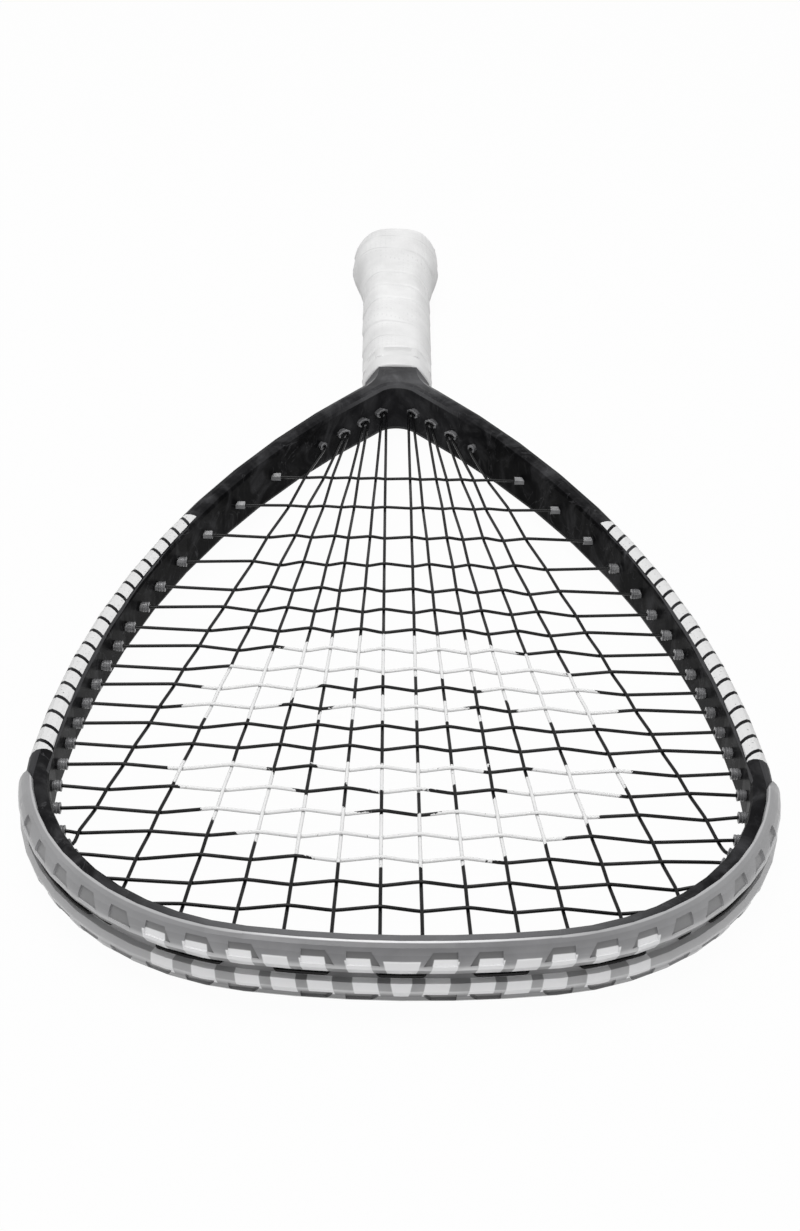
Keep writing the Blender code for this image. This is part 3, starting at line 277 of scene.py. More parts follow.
def lacquered_carbon():
    """Moulded carbon under a satin clear coat: cloudy black with resin veins, paler towards the throat,
    with painted light on upward faces, most on the neck's top.

    Slanted white bars are printed on the outer shoulder of both limbs.
    """
    material, tree, shader, place = surface("lacquered_carbon")
    clouds = noise(tree, place, 55, detail=5, roughness=0.6, distortion=1.4)
    upright = maths(tree, "ABSOLUTE", normal_height(tree))
    flat = rising(tree, upright, 0.55, 0.95)
    along = split(tree, place)["Y"]
    throat = rising(tree, along, *THROAT_FADE)
    neck = product(tree, flat, rising(tree, along, *NECK_FADE))
    # Shaded and lit copies of the carbon: upward faces get painted light, fully on the neck's top, and
    # the throat is paler all round
    walls = ramp(tree, clouds, (0.38, "0b0b0c"), (0.5, "151516"), (0.58, "262627"), (0.7, "38383a"))
    lit_flats = ramp(tree, clouds, (0.36, "2a2a2c"), (0.5, "39393b"), (0.6, "464648"), (0.72, "545456"))
    share = maths(tree, "MAXIMUM", product(tree, throat, 0.7), product(tree, flat, 0.22))
    tone = mixed(tree, maths(tree, "MAXIMUM", neck, share), walls, lit_flats)
    ridge = distance(tree, noise(tree, place, 42, detail=3, roughness=0.55, distortion=2.4), 0.5)
    vein = falling(tree, ridge, 0.0, 0.014)
    broken = rising(tree, noise(tree, place, 90, detail=2), 0.45, 0.6)
    tone = mixed(tree, product(tree, vein, broken, 0.55), tone, "505052")

    plan, side, height = folded(tree, place)
    depth, turn = arc_place(tree, plan, LIMB_ARC)
    travel = product(tree, maths(tree, "SUBTRACT", turn, CORNER_TURN), LIMB_ARC[2] * MM)
    slanted = maths(tree, "DIVIDE", line(tree, depth, LIMB_BAR_LEAN, travel), LIMB_BAR_PITCH)
    bars = product(tree, within(tree, maths(tree, "FRACT", slanted), 0.0, LIMB_BAR_WHITE),
                   within(tree, travel, *LIMB_BAR_RUN), within(tree, depth, *LIMB_BAR_DEPTHS),
                   more(tree, height, LIMB_BAR_BOTTOM))
    wear = rising(tree, noise(tree, place, 1300, detail=2, roughness=0.7), 0.27, 0.34)
    tone = mixed(tree, product(tree, bars, wear), tone, "dcdcdc")

    corner = product(tree, less(tree, depth, CORNER_DEPTH), within(tree, along, *CORNER_SPAN),
                     opposite(tree, bars))
    tone = mixed(tree, product(tree, corner, 0.7), tone, "464648")
    # Painted highlight along the top edge of the limbs
    edge = product(tree, within(tree, depth, *EDGE_DEPTHS), within(tree, height, *EDGE_HEIGHTS),
                   within(tree, along, *EDGE_SPAN))
    tone = mixed(tree, product(tree, edge, 0.5), tone, "6a6a6c")
    # Painted highlight along the throat's arch, where faces turn from up to sideways
    arch_highlight = product(tree, within(tree, upright, 0.3, 0.9), rising(tree, along, *ARCH_FADE))
    tone = mixed(tree, product(tree, arch_highlight, 0.5), tone, "6e6e70")

    tip_depth, _ = arc_place(tree, plan, TIP_ARC)
    corner_depth, _ = arc_place(tree, plan, CORNER_ARC)
    near_tip = less(tree, maths(tree, "MINIMUM", tip_depth, corner_depth), HAZE_DEPTH)
    haze = product(tree, more(tree, height, HAZE_HEIGHT), falling(tree, side, *HAZE_FADE),
                   near_tip, less(tree, along, HAZE_END))
    tone = mixed(tree, product(tree, haze, 0.62), tone, "868688")

    tree.links.new(line(tree, neck, 0.08, 0.01), shader.inputs["Specular IOR Level"])
    finish(tree, shader, tone, {"Roughness": 0.34}, noise(tree, place, 900, detail=2), 0.006)
    return material


# Bumper: its height over the string plane, and the lean and soft edges of the white bars behind it
BUMPER_HEIGHT = 12.3 * MM
BUMPER_BAR_LEAN = -0.25
BUMPER_BAR_SIDE = (3.6 * MM, 4.0 * MM)
BUMPER_BAR_FOOT = (1.9 * MM, 2.1 * MM)
BUMPER_BAR_HEAD = (7.1 * MM, 7.5 * MM)
BUMPER_BAR_LOWEST = (-6.6 * MM, -6.2 * MM)

# Floors of the pockets as an ellipse over depth and height, and how far over it their walls count
POCKET_FLOOR_MIDDLE = (5.2 * MM, 3.6 * MM)
POCKET_FLOOR_HALF = (6.2 * MM, 7.9 * MM)
POCKET_WALLS = 1.085

# Outline of the pockets, which get shorter away from the tip and have one leaning end; the lower
# ones show less towards the corner
POCKET_HALF_LENGTH = 5.45 * MM
POCKET_SHORTENING = -0.0098
POCKET_LEAN = -0.82
POCKET_LEANING_END = -4.35 * MM
POCKET_HEIGHTS = (4.9 * MM, 9.2 * MM)
LOW_POCKET_FADE = (40 * MM, 90 * MM)

# Painted light on the bumper: a paler tone towards the corners, more so in its lower half, painted
# shade along its lower edge, and painted highlights on its upper and lower lips near the tip
LIFT_SPAN = (30 * MM, 112 * MM)
LIFT = 0.34
LOWER_LIFT = 1.3
DARK_EDGE = (-9.5 * MM, -3.5 * MM)
DARK_EDGE_FADE = (50 * MM, 100 * MM)
LIP_DEPTHS = (2.5 * MM, 2.8 * MM)
LIP_HEIGHT = 9 * MM
LIP_FADE = (20 * MM, 60 * MM)


def smoke_polymer():
    """Moulded translucent urethane over black: milky grey, with painted light that makes it paler at
    its lips, above its channel and towards its corners, and painted shade along its lower edge.

    Its thin pocket floors show the black underneath, and soft white bars show through the tip.
    """
    material, tree, shader, place = surface("smoke_polymer")
    plan, side, height = folded(tree, place)
    z = split(tree, place)["Z"]
    # Tone by height over the string plane, with painted light and shade: a pale band just above the
    # channel, darker on the upper sides
    share = maths(tree, "DIVIDE", height, BUMPER_HEIGHT, clamp=True)
    tone = ramp(tree, share, (0.0, "808081"), (0.155, "808081"), (0.18, "a0a0a1"), (0.33, "a8a8a9"),
                (0.36, "dededf"), (0.42, "d0d0d1"), (0.49, "a4a4a6"), (0.6, "8a8a8c"),
                (0.85, "7a7a7c"), (0.95, "7c7c7e"), (1.0, "848486"))
    flow = noise(tree, place, 45, detail=4, roughness=0.55, distortion=0.8)
    flow = ramp(tree, flow, (0.35, "dcdcdc"), (0.65, "ffffff"))
    tone = mixed(tree, 0.8, tone, flow, "MULTIPLY")

    tip_depth, tip_turn = arc_place(tree, plan, TIP_ARC)
    corner_depth, corner_turn = arc_place(tree, plan, CORNER_ARC)
    beyond = more(tree, side, TIP_REACH * MM)
    at_tip = opposite(tree, beyond)
    tip_way = product(tree, tip_turn, TIP_ARC[2] * MM)
    corner_way = line(tree, maths(tree, "SUBTRACT", corner_turn, TIP_TURN), CORNER_ARC[2] * MM,
                      TIP_ARC[2] * TIP_TURN * MM)
    depth, way = (maths(tree, "ADD", product(tree, at, at_tip), product(tree, past, beyond))
                  for at, past in ((tip_depth, corner_depth), (tip_way, corner_way)))

    leaning = line(tree, z, BUMPER_BAR_LEAN, way)
    bars = 0.0
    for centre in BAR_CENTRES:
        off = distance(tree, leaning, centre * MM)
        bars = maths(tree, "MAXIMUM", bars, falling(tree, off, *BUMPER_BAR_SIDE))
    bars = product(tree, bars, rising(tree, height, *BUMPER_BAR_FOOT),
                   falling(tree, height, *BUMPER_BAR_HEAD), rising(tree, z, *BUMPER_BAR_LOWEST))

    across = maths(tree, "DIVIDE", maths(tree, "SUBTRACT", POCKET_FLOOR_MIDDLE[0], depth),
                   POCKET_FLOOR_HALF[0])
    upward = maths(tree, "DIVIDE", maths(tree, "SUBTRACT", height, POCKET_FLOOR_MIDDLE[1]),
                   POCKET_FLOOR_HALF[1])
    outward = hypotenuse(tree, across, upward)
    first = line(tree, more(tree, way, WIDE_GAP * MM),
                 (POCKET_STARTS[1] - POCKET_STARTS[0]) * MM, POCKET_STARTS[0] * MM)
    count = maths(tree, "DIVIDE", maths(tree, "SUBTRACT", way, first), POCKET_PITCH * MM)
    from_middle = product(tree, maths(tree, "SUBTRACT", count, maths(tree, "ROUND", count)),
                          POCKET_PITCH * MM)
    half_length = line(tree, way, POCKET_SHORTENING, POCKET_HALF_LENGTH)
    leaning_end = line(tree, height, POCKET_LEAN, maths(tree, "ADD", from_middle, half_length))
    pocket = product(tree, within(tree, height, *POCKET_HEIGHTS),
                     more(tree, leaning_end, POCKET_LEANING_END),
                     less(tree, from_middle, half_length), less(tree, outward, POCKET_WALLS))
    below = less(tree, z, 0.0)
    low_corner = product(tree, below, rising(tree, side, *LOW_POCKET_FADE))
    pocket = product(tree, pocket, line(tree, low_corner, -0.8, 1.0))
    inside = ramp(tree, line(tree, outward, 5.0, -4.7, clamp=True),
                  (0.0, "686869"), (0.42, "6c6c6d"), (0.5, "bcbcbd"), (1.0, "c8c8c9"))
    tone = mixed(tree, pocket, tone, inside)

    # Painted light: paler towards the corners, more so in the lower half
    painted_corner_light = node(tree, "ShaderNodeMapRange", {
        "Value": side, "From Min": LIFT_SPAN[0], "From Max": LIFT_SPAN[1], "To Max": LIFT})
    tone = mixed(tree, product(tree, painted_corner_light.outputs[0], line(tree, below, LOWER_LIFT, 1.0)), tone,
                 "c8c8c9")
    # Painted shade along the lower edge, less towards the corners
    under = product(tree, falling(tree, z, *DARK_EDGE),
                    line(tree, rising(tree, side, *DARK_EDGE_FADE), -0.6, 0.7))
    tone = mixed(tree, under, tone, "4c4c4d")
    tone = mixed(tree, product(tree, bars, 0.95), tone, "f2f2f3")
    # Painted highlight on the upper and lower lips, fading towards the corners
    lip = product(tree, rising(tree, depth, *LIP_DEPTHS), more(tree, height, LIP_HEIGHT),
                  line(tree, rising(tree, side, *LIP_FADE), -0.65, 1.0))
    tone = mixed(tree, lip, tone, "e8e8e9")
    finish(tree, shader, tone,
           {"Roughness": 0.28, "Specular IOR Level": 0.3, "Transmission Weight": 0.1,
            "Coat Weight": 0.15, "Coat Roughness": 0.1},
           noise(tree, place, 300, detail=2), 0.01)
    return material


# Target on the strings: its middle and half sizes, the radii of disc and ring as shares of those,
# and half the width of the plain strip between its halves
TARGET_MIDDLE = -158 * MM
TARGET_HALF = (82 * MM, 68 * MM)
TARGET_DISC = 0.42
TARGET_RING = (0.6, 1.0)
TARGET_SPLIT = 12.5 * MM


def inked_monofilament():
    """Extruded black nylon with a soft shine; a split target is stencilled on top in white ink."""
    material, tree, shader, place = surface("inked_monofilament")
    ragged = line(tree, noise(tree, place, 600, detail=3, roughness=0.7), 0.05, -0.025)
    axes = split(tree, place)
    off = maths(tree, "SUBTRACT", axes["Y"], TARGET_MIDDLE)
    reach = maths(tree, "ADD", ragged, hypotenuse(
        tree, maths(tree, "DIVIDE", axes["X"], TARGET_HALF[0]),
        maths(tree, "DIVIDE", off, TARGET_HALF[1])))
    target = maths(tree, "MAXIMUM", within(tree, reach, *TARGET_RING),
                   less(tree, reach, TARGET_DISC))
    halves = more(tree, maths(tree, "ABSOLUTE", off), TARGET_SPLIT)
    on_top = rising(tree, normal_height(tree), -0.6, -0.25)
    wear = rising(tree, noise(tree, place, 1500, detail=2, roughness=0.6), 0.26, 0.32)
    black = ramp(tree, noise(tree, place, 500, detail=2), (0.3, "080809"), (0.7, "121213"))
    tone = mixed(tree, product(tree, target, halves, on_top, wear), black, "e6e6e6")
    finish(tree, shader, tone, {"Roughness": 0.2, "Specular IOR Level": 0.15},
           noise(tree, place, 1200, detail=2), 0.006)
    return material


# Tape: holes per turn round the handle and along one lap, their soft edge as shares of a cell,
# and where in a lap the folded edge lies
HOLES = (44.0, 7.0, 1.0)
HOLE_EDGE = (0.1, 0.19)
FOLD_AT = 0.93
FOLD_EDGE = (0.01, 0.045)

# Where painted shade greys the tape at the sides of the flare, and where it is pulled into folds over
# it
GREY_START = (212 * MM, 230 * MM)
GREY_END = (240 * MM, 262 * MM)
GREY_SIDE = (14 * MM, 20 * MM)
PULLED_FADE = (212 * MM, 240 * MM)


def perforated_tape():
    """Embossed polyurethane tape: matt white and finely perforated, with painted shade in its laps'
    creases, in its holes and at the sides of the flare.
    """
    material, tree, shader, place = surface("perforated_tape")
    wrap = node(tree, "ShaderNodeUVMap", uv_map="tape").outputs["UV"]
    cell = vector_maths(tree, "FRACTION", vector_maths(tree, "MULTIPLY", wrap, HOLES)[0])[0]
    centred = vector_maths(tree, "SUBTRACT", cell, (0.5, 0.5, 0.0))[0]
    hole = falling(tree, vector_maths(tree, "LENGTH", centred)["Value"], *HOLE_EDGE)
    lap = maths(tree, "FRACT", split(tree, wrap)["Y"])
    fold = falling(tree, distance(tree, lap, FOLD_AT), *FOLD_EDGE)
    tone = ramp(tree, noise(tree, place, 60, detail=4), (0.35, "dedede"), (0.65, "ebebeb"))
    patch = rising(tree, noise(tree, place, 70, detail=2), 0.42, 0.6)
    # Painted shade in the crease at each lap's folded edge, stronger in patches, and in the holes
    # within patches
    shade = maths(tree, "MAXIMUM", product(tree, fold, line(tree, patch, 0.16, 0.06)),
                  product(tree, hole, patch, 0.16))
    tone = mixed(tree, shade, tone, "9a9a9a")
    axes = split(tree, place)
    # Painted shade at the sides of the flare, where its surface turns away from the light
    grey = product(tree, rising(tree, axes["Y"], *GREY_START), falling(tree, axes["Y"], *GREY_END),
                   rising(tree, maths(tree, "ABSOLUTE", axes["X"]), *GREY_SIDE))
    tone = mixed(tree, product(tree, grey, 0.3), tone, "a8a8a8")
    creases = noise(tree, place, 230, detail=4, roughness=0.6, distortion=0.8)
    grain = line(tree, noise(tree, place, 1400, detail=3), 0.3, product(tree, hole, -0.3))
    long_way = vector_maths(tree, "MULTIPLY", place, (1.0, 0.22, 1.0))[0]
    folds = noise(tree, long_way, 330, detail=3, roughness=0.6, distortion=0.5)
    pulled = product(tree, folds, rising(tree, axes["Y"], *PULLED_FADE), 2.2)
    relief = maths(tree, "ADD", line(tree, creases, 1.8, grain), pulled)
    finish(tree, shader, tone, {"Roughness": 0.55}, relief, 0.16)
    return material


def clouded(name, tones, clouds, values, grain, millimetres):
    """A plain material: soft clouds from one tone to another over a grain.

    Clouds and grain are given as the noise's settings, and the grain's depth in millimetres.
    """
    material, tree, shader, place = surface(name)
    tone = ramp(tree, noise(tree, place, **clouds), (0.35, tones[0]), (0.65, tones[1]))
    finish(tree, shader, tone, values, noise(tree, place, **grain), millimetres)
    return material


def clear_nylon():
    """Moulded clear nylon, aged to grey: smooth and a little see-through."""
    return clouded("clear_nylon", ("6a6a6c", "8a8a8c"), {"per_metre": 220, "detail": 2},
                   {"Roughness": 0.25, "Transmission Weight": 0.3},
                   {"per_metre": 700, "detail": 2}, 0.01)


def adhesive_tape():
    """Smooth white vinyl tape over the grip's end: a little glossier and greyer than the grip."""
    return clouded("adhesive_tape", ("d8d8d8", "e2e2e2"), {"per_metre": 80, "detail": 3},
                   {"Roughness": 0.35},
                   {"per_metre": 160, "detail": 3, "roughness": 0.5, "distortion": 0.6}, 0.06)


def moulded_white_rubber():
    """Moulded thermoplastic rubber: smooth, matt, off-white."""
    return clouded("moulded_white_rubber", ("d6d6d6", "e0e0e0"), {"per_metre": 70, "detail": 3},
                   {"Roughness": 0.45}, {"per_metre": 1500, "detail": 2}, 0.02)


def moulded_cap_plastic():
    """Injection moulded polypropylene: pale grey with a fine spark-eroded grain."""
    return clouded("moulded_cap_plastic", ("cfcfcf", "dcdcdc"), {"per_metre": 90, "detail": 3},
                   {"Roughness": 0.5}, {"per_metre": 2200, "detail": 2}, 0.03)


def rigid_foam():
    """Moulded rigid polyurethane foam: dull tan with closed cells."""
    return clouded("rigid_foam", ("a3987f", "b9ae95"), {"per_metre": 400, "detail": 4},
                   {"Roughness": 0.85}, {"per_metre": 1800, "detail": 2}, 0.1)


CARBON = lacquered_carbon()
SMOKE = smoke_polymer()
NYLON = clear_nylon()
STRING = inked_monofilament()
TAPE = perforated_tape()
BAND = adhesive_tape()
RUBBER = moulded_white_rubber()
CAP = moulded_cap_plastic()
FOAM = rigid_foam()


def finish_node(name, material):
    """Give a CAD node its material."""
    mesh = nodes[name].data
    mesh.materials.clear()
    mesh.materials.append(material)


finish_node("frame", CARBON)
finish_node("bumper_guard", SMOKE)
finish_node("butt_cap", CAP)
for name in nodes:
    if name.startswith(("throat_grommet", "grommet_strip")):
        finish_node(name, NYLON)
    if name.startswith("pallet_half"):
        finish_node(name, FOAM)


# Shared by the pieces

def added(name, mesh):
    made = bpy.data.objects.new(name, mesh)
    bpy.context.scene.collection.objects.link(made)
    return made


def meshed(name, bm, material, sharp_degrees):
    """Object made of a bmesh, smooth except over sharp edges."""
    bmesh.ops.recalc_face_normals(bm, faces=bm.faces)
    mesh = bpy.data.meshes.new(name)
    bm.to_mesh(mesh)
    bm.free()
    mesh.shade_smooth()
    mesh.set_sharp_from_angle(angle=math.radians(sharp_degrees))
    mesh.materials.append(material)
    return added(name, mesh)


def eased(value):
    value = min(max(value, 0.0), 1.0)
    return value * value * (3 - 2 * value)


def set_input(modifier, title, value):
    for item in modifier.node_group.interface.items_tree:
        if item.name == title and item.in_out == "INPUT":
            modifier[item.identifier] = value


def node_group(name, sockets):
    """A Geometry Nodes group with its input sockets, as (title, type, value)."""
    tree = bpy.data.node_groups.new(name, "GeometryNodeTree")
    tree.interface.new_socket("Geometry", in_out="INPUT", socket_type="NodeSocketGeometry")
    for title, kind, value in sockets:
        socket = tree.interface.new_socket(title, in_out="INPUT", socket_type="NodeSocket" + kind)
        if value is not None:
            socket.default_value = value
    tree.interface.new_socket("Geometry", in_out="OUTPUT", socket_type="NodeSocketGeometry")
    return tree, tree.nodes.new("NodeGroupInput").outputs, tree.nodes.new("NodeGroupOutput")


def finish_group(tree, geometry, coat, result):
    """End a group with real geometry in the given material."""
    real = node(tree, "GeometryNodeRealizeInstances", {"Geometry": geometry})
    painted = node(tree, "GeometryNodeSetMaterial", {"Geometry": real.outputs[0], "Material": coat})
    tree.links.new(painted.outputs[0], result.inputs[0])


def baked(name, source):
    """Plain mesh object made from the evaluated source, which is removed."""
    bpy.context.view_layer.update()
    graph = bpy.context.evaluated_depsgraph_get()
    mesh = bpy.data.meshes.new_from_object(source.evaluated_get(graph))
    bpy.data.objects.remove(source)
    mesh.name = name
    return added(name, mesh)


# Strings

STRING_DIAMETER = 1.25 * MM
STRING_SIDES = 10

# Points of a CAD tube this close are one, its end is flat and no wider than this, and two faces
# are on the same plane where the dot product of their normals is more than this
SAME_POINT = 0.002 * MM
END_SPREAD = STRING_DIAMETER * 1.05
SAME_PLANE = 0.9999

# Middles of both strings are this far apart where they cross, and the cross takes this share of
# the bend in the bed and near the throat; the shares change over a length along the part
GIVE = 1.32 * MM
CROSS_SHARE = 0.72
THROAT_CROSS_SHARE = 0.14
THROAT_EASE_START = 235 * MM - HALF_LENGTH
THROAT_EASE_LENGTH = 70 * MM

# A cross bends least where its next point is this close, and fully where it is this far away
CLOSE_ARM = 3 * MM
FREE_ARM = 11 * MM

# A cross in the bed goes sideways for more than this share of its way, and less in the groove
SIDEWAYS = 0.9

# Shortest straight run of a main, how far from it in plan a crossing may lie, how far past its
# end, and how near its end the main's own point stands for the crossing
SHORTEST_RUN = 6 * MM
PLAN_SLACK = 0.3 * MM
END_SLACK = 0.01 * MM
OWN_POINT_REACH = 1 * MM

# Bends of the round strings: their arms as a share of the way to the next point, and the longest
BEND_SHARE = 0.3
BEND_REACH = 1.3 * MM


def tube_route(name):
    """Centre line of a CAD tube, read ring by ring from one flat end to the other."""
    bm = bmesh.new()
    bm.from_mesh(nodes[name].data)
    bmesh.ops.remove_doubles(bm, verts=bm.verts, dist=SAME_POINT)
    ring = end_ring(bm)
    seen = set(ring)
    route = []
    while ring:
        route.append(sum((vert.co for vert in ring), Vector()) / len(ring))
        following = {edge.other_vert(vert) for vert in ring for edge in vert.link_edges} - seen
        seen |= following
        ring = following
    bm.free()
    return route


def end_ring(bm):
    """Vertices of one end of the tube: the flat group of faces that is no wider than it."""
    for face in bm.faces:
        if max(edge.calc_length() for edge in face.edges) > END_SPREAD:
            continue
        group = {face}
        open_faces = [face]
        while open_faces:
            current = open_faces.pop()
            for edge in current.edges:
                for other in edge.link_faces:
                    if other not in group and other.normal.dot(face.normal) > SAME_PLANE:
                        group.add(other)
                        open_faces.append(other)
        ring = {vert for member in group for vert in member.verts}
        spread = max((a.co - b.co).length for a in ring for b in ring)
        if len(group) == len(ring) - 2 and len(ring) >= 6 and spread < END_SPREAD:
            return ring
    raise ValueError("the tube has no flat end")


def crossing(mains, point):
    """Where a cross passes a main, or None.

    Returns the run's index, the share along it, the main's place there, and whether the main has
    a point of its own for it.
    """
    for index, (start, end) in enumerate(zip(mains, mains[1:])):
        run = (end - start).xy
        if run.length < SHORTEST_RUN:
            continue
        share = (point - start).xy.dot(run) / run.length_squared
        to_end = min(share, 1 - share) * run.length
        near = start.lerp(end, share)
        beside = (near - point).xy.length > PLAN_SLACK or abs(point.z - near.z) < STRING_DIAMETER
        if to_end >= -END_SLACK and not beside:
            return index, share, near, to_end < OWN_POINT_REACH
    return None


def bend_both(mains, crosses):
    """Bend both strings where they cross, as tension does.

    The cross bends more, except near the throat and where its next bend is close. The CAD's
    crosses go all the way round straight mains, and only near the throat do its mains have a
    point of their own at a crossing. Returns the mains with a point at every crossing, and
    moves the crosses' points.
    """
    extra, moved = {}, {}
    for before, point, after in zip(crosses, crosses[1:], crosses[2:]):
        in_groove = abs((after - before).normalized().x) < SIDEWAYS
        found = None if in_groove else crossing(mains, point)
        if not found:
            continue
        index, share, near, has_point = found
        up = math.copysign(1.0, point.z - near.z)
        middle = 0.0 if has_point else near.z
        near_throat = eased((point.y - THROAT_EASE_START) / THROAT_EASE_LENGTH)
        arm = min((point - before).length, (after - point).length)
        free = (1 - near_throat) * eased((arm - CLOSE_ARM) / (FREE_ARM - CLOSE_ARM))
        cross_give = GIVE * (THROAT_CROSS_SHARE + (CROSS_SHARE - THROAT_CROSS_SHARE) * free)
        point.z = middle + up * cross_give
        near.z = middle - up * (GIVE - cross_give)
        if has_point:
            moved[index + round(share)] = near.z
        else:
            extra.setdefault(index, []).append((share, near))
    bent = []
    for index, point in enumerate(mains):
        bent.append(Vector((point.x, point.y, moved.get(index, point.z))))
        bent += [near for _, near in sorted(extra.get(index, []), key=lambda item: item[0])]
    return bent


def string_tree():
    """Geometry Nodes: a round string along a line, with its ends closed."""
    tree, given, result = node_group("string_along_route", [
        ("Diameter", "Float", STRING_DIAMETER), ("Sides", "Int", STRING_SIDES),
        ("Material", "Material", None)])
    half = node(tree, "ShaderNodeMath", {0: given["Diameter"], 1: 0.5}, operation="MULTIPLY")
    section = node(tree, "GeometryNodeCurvePrimitiveCircle",
                   {"Resolution": given["Sides"], "Radius": half.outputs[0]})
    tube = node(tree, "GeometryNodeCurveToMesh",
                {"Curve": given["Geometry"], "Profile Curve": section.outputs[0],
                 "Fill Caps": True})
    smooth = node(tree, "GeometryNodeSetShadeSmooth", {"Geometry": tube.outputs[0]})
    finish_group(tree, smooth.outputs[0], given["Material"], result)
    return tree


def round_string(name, cad_name, route, tree):
    """A fine round string on its route, with short bends; it replaces the CAD tube."""
    curve = bpy.data.curves.new(name + "_route", "CURVE")
    curve.dimensions = "3D"
    curve.resolution_u = 4
    spline = curve.splines.new("BEZIER")
    spline.bezier_points.add(len(route) - 1)
    for i, point in enumerate(spline.bezier_points):
        here = route[i]
        before = route[max(i - 1, 0)]
        after = route[min(i + 1, len(route) - 1)]
        arm = (after - before).normalized()
        point.co = here
        point.handle_left = here - arm * min((here - before).length * BEND_SHARE, BEND_REACH)
        point.handle_right = here + arm * min((after - here).length * BEND_SHARE, BEND_REACH)
    source = added(name + "_source", curve)
    modifier = source.modifiers.new("string", "NODES")
    modifier.node_group = tree
    set_input(modifier, "Diameter", STRING_DIAMETER)
    set_input(modifier, "Sides", STRING_SIDES)
    set_input(modifier, "Material", STRING)
    made = baked(name, source)
    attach(made, "root")
    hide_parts(cad_name)


main_route = tube_route("main_string")
cross_route = tube_route("cross_string")
main_route = bend_both(main_route, cross_route)
strings = string_tree()
round_string("main_monofilament", "main_string", main_route, strings)
round_string("cross_monofilament", "cross_string", cross_route, strings)


# Grommet sleeves

# Section of a sleeve as (radius, rise) in millimetres, from the inner edge of its mouth and back
SLEEVE_PROFILE = [(1.12, -0.15), (1.8, -0.15), (1.98, -0.08), (2.04, 0.06), (2.0, 0.34), (1.93, 0.46),
                  (1.88, 0.6), (1.88, 1.0), (2.02, 1.12), (2.02, 1.42), (1.88, 1.55), (1.88, 1.95),
                  (2.02, 2.07), (2.02, 2.37), (1.88, 2.5), (1.88, 2.95), (1.86, 2.95), (1.86, -0.02),
                  (1.12, -0.02)]
SLEEVE_SIDES = 24

# A string's straight run in a barrel, its next step in the groove, how far the run points out of
# the head, and how far along the run the sleeve starts
BARREL_RUN = (7 * MM, 18 * MM)
GROOVE_STEP = 1.7 * MM
OUTWARD = 0.6
MOUTH_LEAD = 0.6 * MM

# Along the part from its middle: where the bumper ends and where the throat's funnels begin
BUMPER_END = 86.8 * MM - HALF_LENGTH
THROAT_FROM = 335 * MM - HALF_LENGTH
HEAD_MIDDLE = Vector((0, -128 * MM))


def barrel_mouths(route):
    """Mouth and way out of each plain grommet barrel that a string runs through.

    There the string turns from a long straight run in the barrel to a short one in the groove.
    """
    found = []
    for points in (route, route[::-1]):
        for bend, turn, after in zip(points, points[1:], points[2:]):
            run = turn - bend
            if (after - turn).length < GROOVE_STEP and BARREL_RUN[0] < run.length < BARREL_RUN[1]:
                way = run.normalized()
                outward = (bend.xy - HEAD_MIDDLE).normalized()
                if bend.y < THROAT_FROM and way.xy.dot(outward) > OUTWARD:
                    found.append((bend + way * MOUTH_LEAD, way))
    return found


def sleeve_profile_object():
    """One turned sleeve round the Z axis, from its mouth upwards."""
    bm = bmesh.new()
    rings = []
    for radius, rise in SLEEVE_PROFILE:
        rings.append([bm.verts.new((radius * MM * math.cos(turn), radius * MM * math.sin(turn),
                                    rise * MM))
                      for turn in (2 * math.pi * i / SLEEVE_SIDES for i in range(SLEEVE_SIDES))])
    for first, second in zip(rings, rings[1:] + rings[:1]):
        for i in range(SLEEVE_SIDES):
            j = (i + 1) % SLEEVE_SIDES
            bm.faces.new((first[i], first[j], second[j], second[i]))
    return meshed("sleeve_source", bm, NYLON, 40)


def sleeves_tree():
    """Geometry Nodes: a sleeve at each point, turned to the point's own way out."""
    tree, given, result = node_group("sleeves_on_barrels", [
        ("Sleeve", "Object", None), ("Material", "Material", None)])
    shape = node(tree, "GeometryNodeObjectInfo", {"Object": given["Sleeve"]})
    way = node(tree, "GeometryNodeInputNamedAttribute", {"Name": "way"}, data_type="FLOAT_VECTOR")
    turn = node(tree, "FunctionNodeAlignRotationToVector", {"Vector": way.outputs["Attribute"]},
                axis="Z")
    placed = node(tree, "GeometryNodeInstanceOnPoints", {
        "Points": given["Geometry"], "Instance": shape.outputs["Geometry"],
        "Rotation": turn.outputs["Rotation"]})
    finish_group(tree, placed.outputs[0], given["Material"], result)
    return tree


def barrel_sleeves():
    """Round ribbed sleeves over the plain barrels of the strips and the bumper."""
    shape = sleeve_profile_object()
    tree = sleeves_tree()
    crosses = barrel_mouths(cross_route)
    behind = [item for item in crosses if item[0].y > BUMPER_END]
    tip = barrel_mouths(main_route) + [item for item in crosses if item not in behind]
    groups = {"bumper_guard": tip,
              "grommet_strip_left": [item for item in behind if item[0].x < 0],
              "grommet_strip_right": [item for item in behind if item[0].x > 0]}
    for owner, mouths in groups.items():
        mesh = bpy.data.meshes.new(owner + "_mouths")
        mesh.from_pydata([centre for centre, _ in mouths], [], [])
        way = mesh.attributes.new("way", "FLOAT_VECTOR", "POINT")
        for item, (_, direction) in zip(way.data, mouths):
            item.vector = direction
        source = added(owner + "_source", mesh)
        modifier = source.modifiers.new("sleeves", "NODES")
        modifier.node_group = tree
        set_input(modifier, "Sleeve", shape)
        set_input(modifier, "Material", NYLON)
        made = baked(owner + "_sleeves", source)
        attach(made, "root")
    bpy.data.objects.remove(shape)


barrel_sleeves()


# Grip

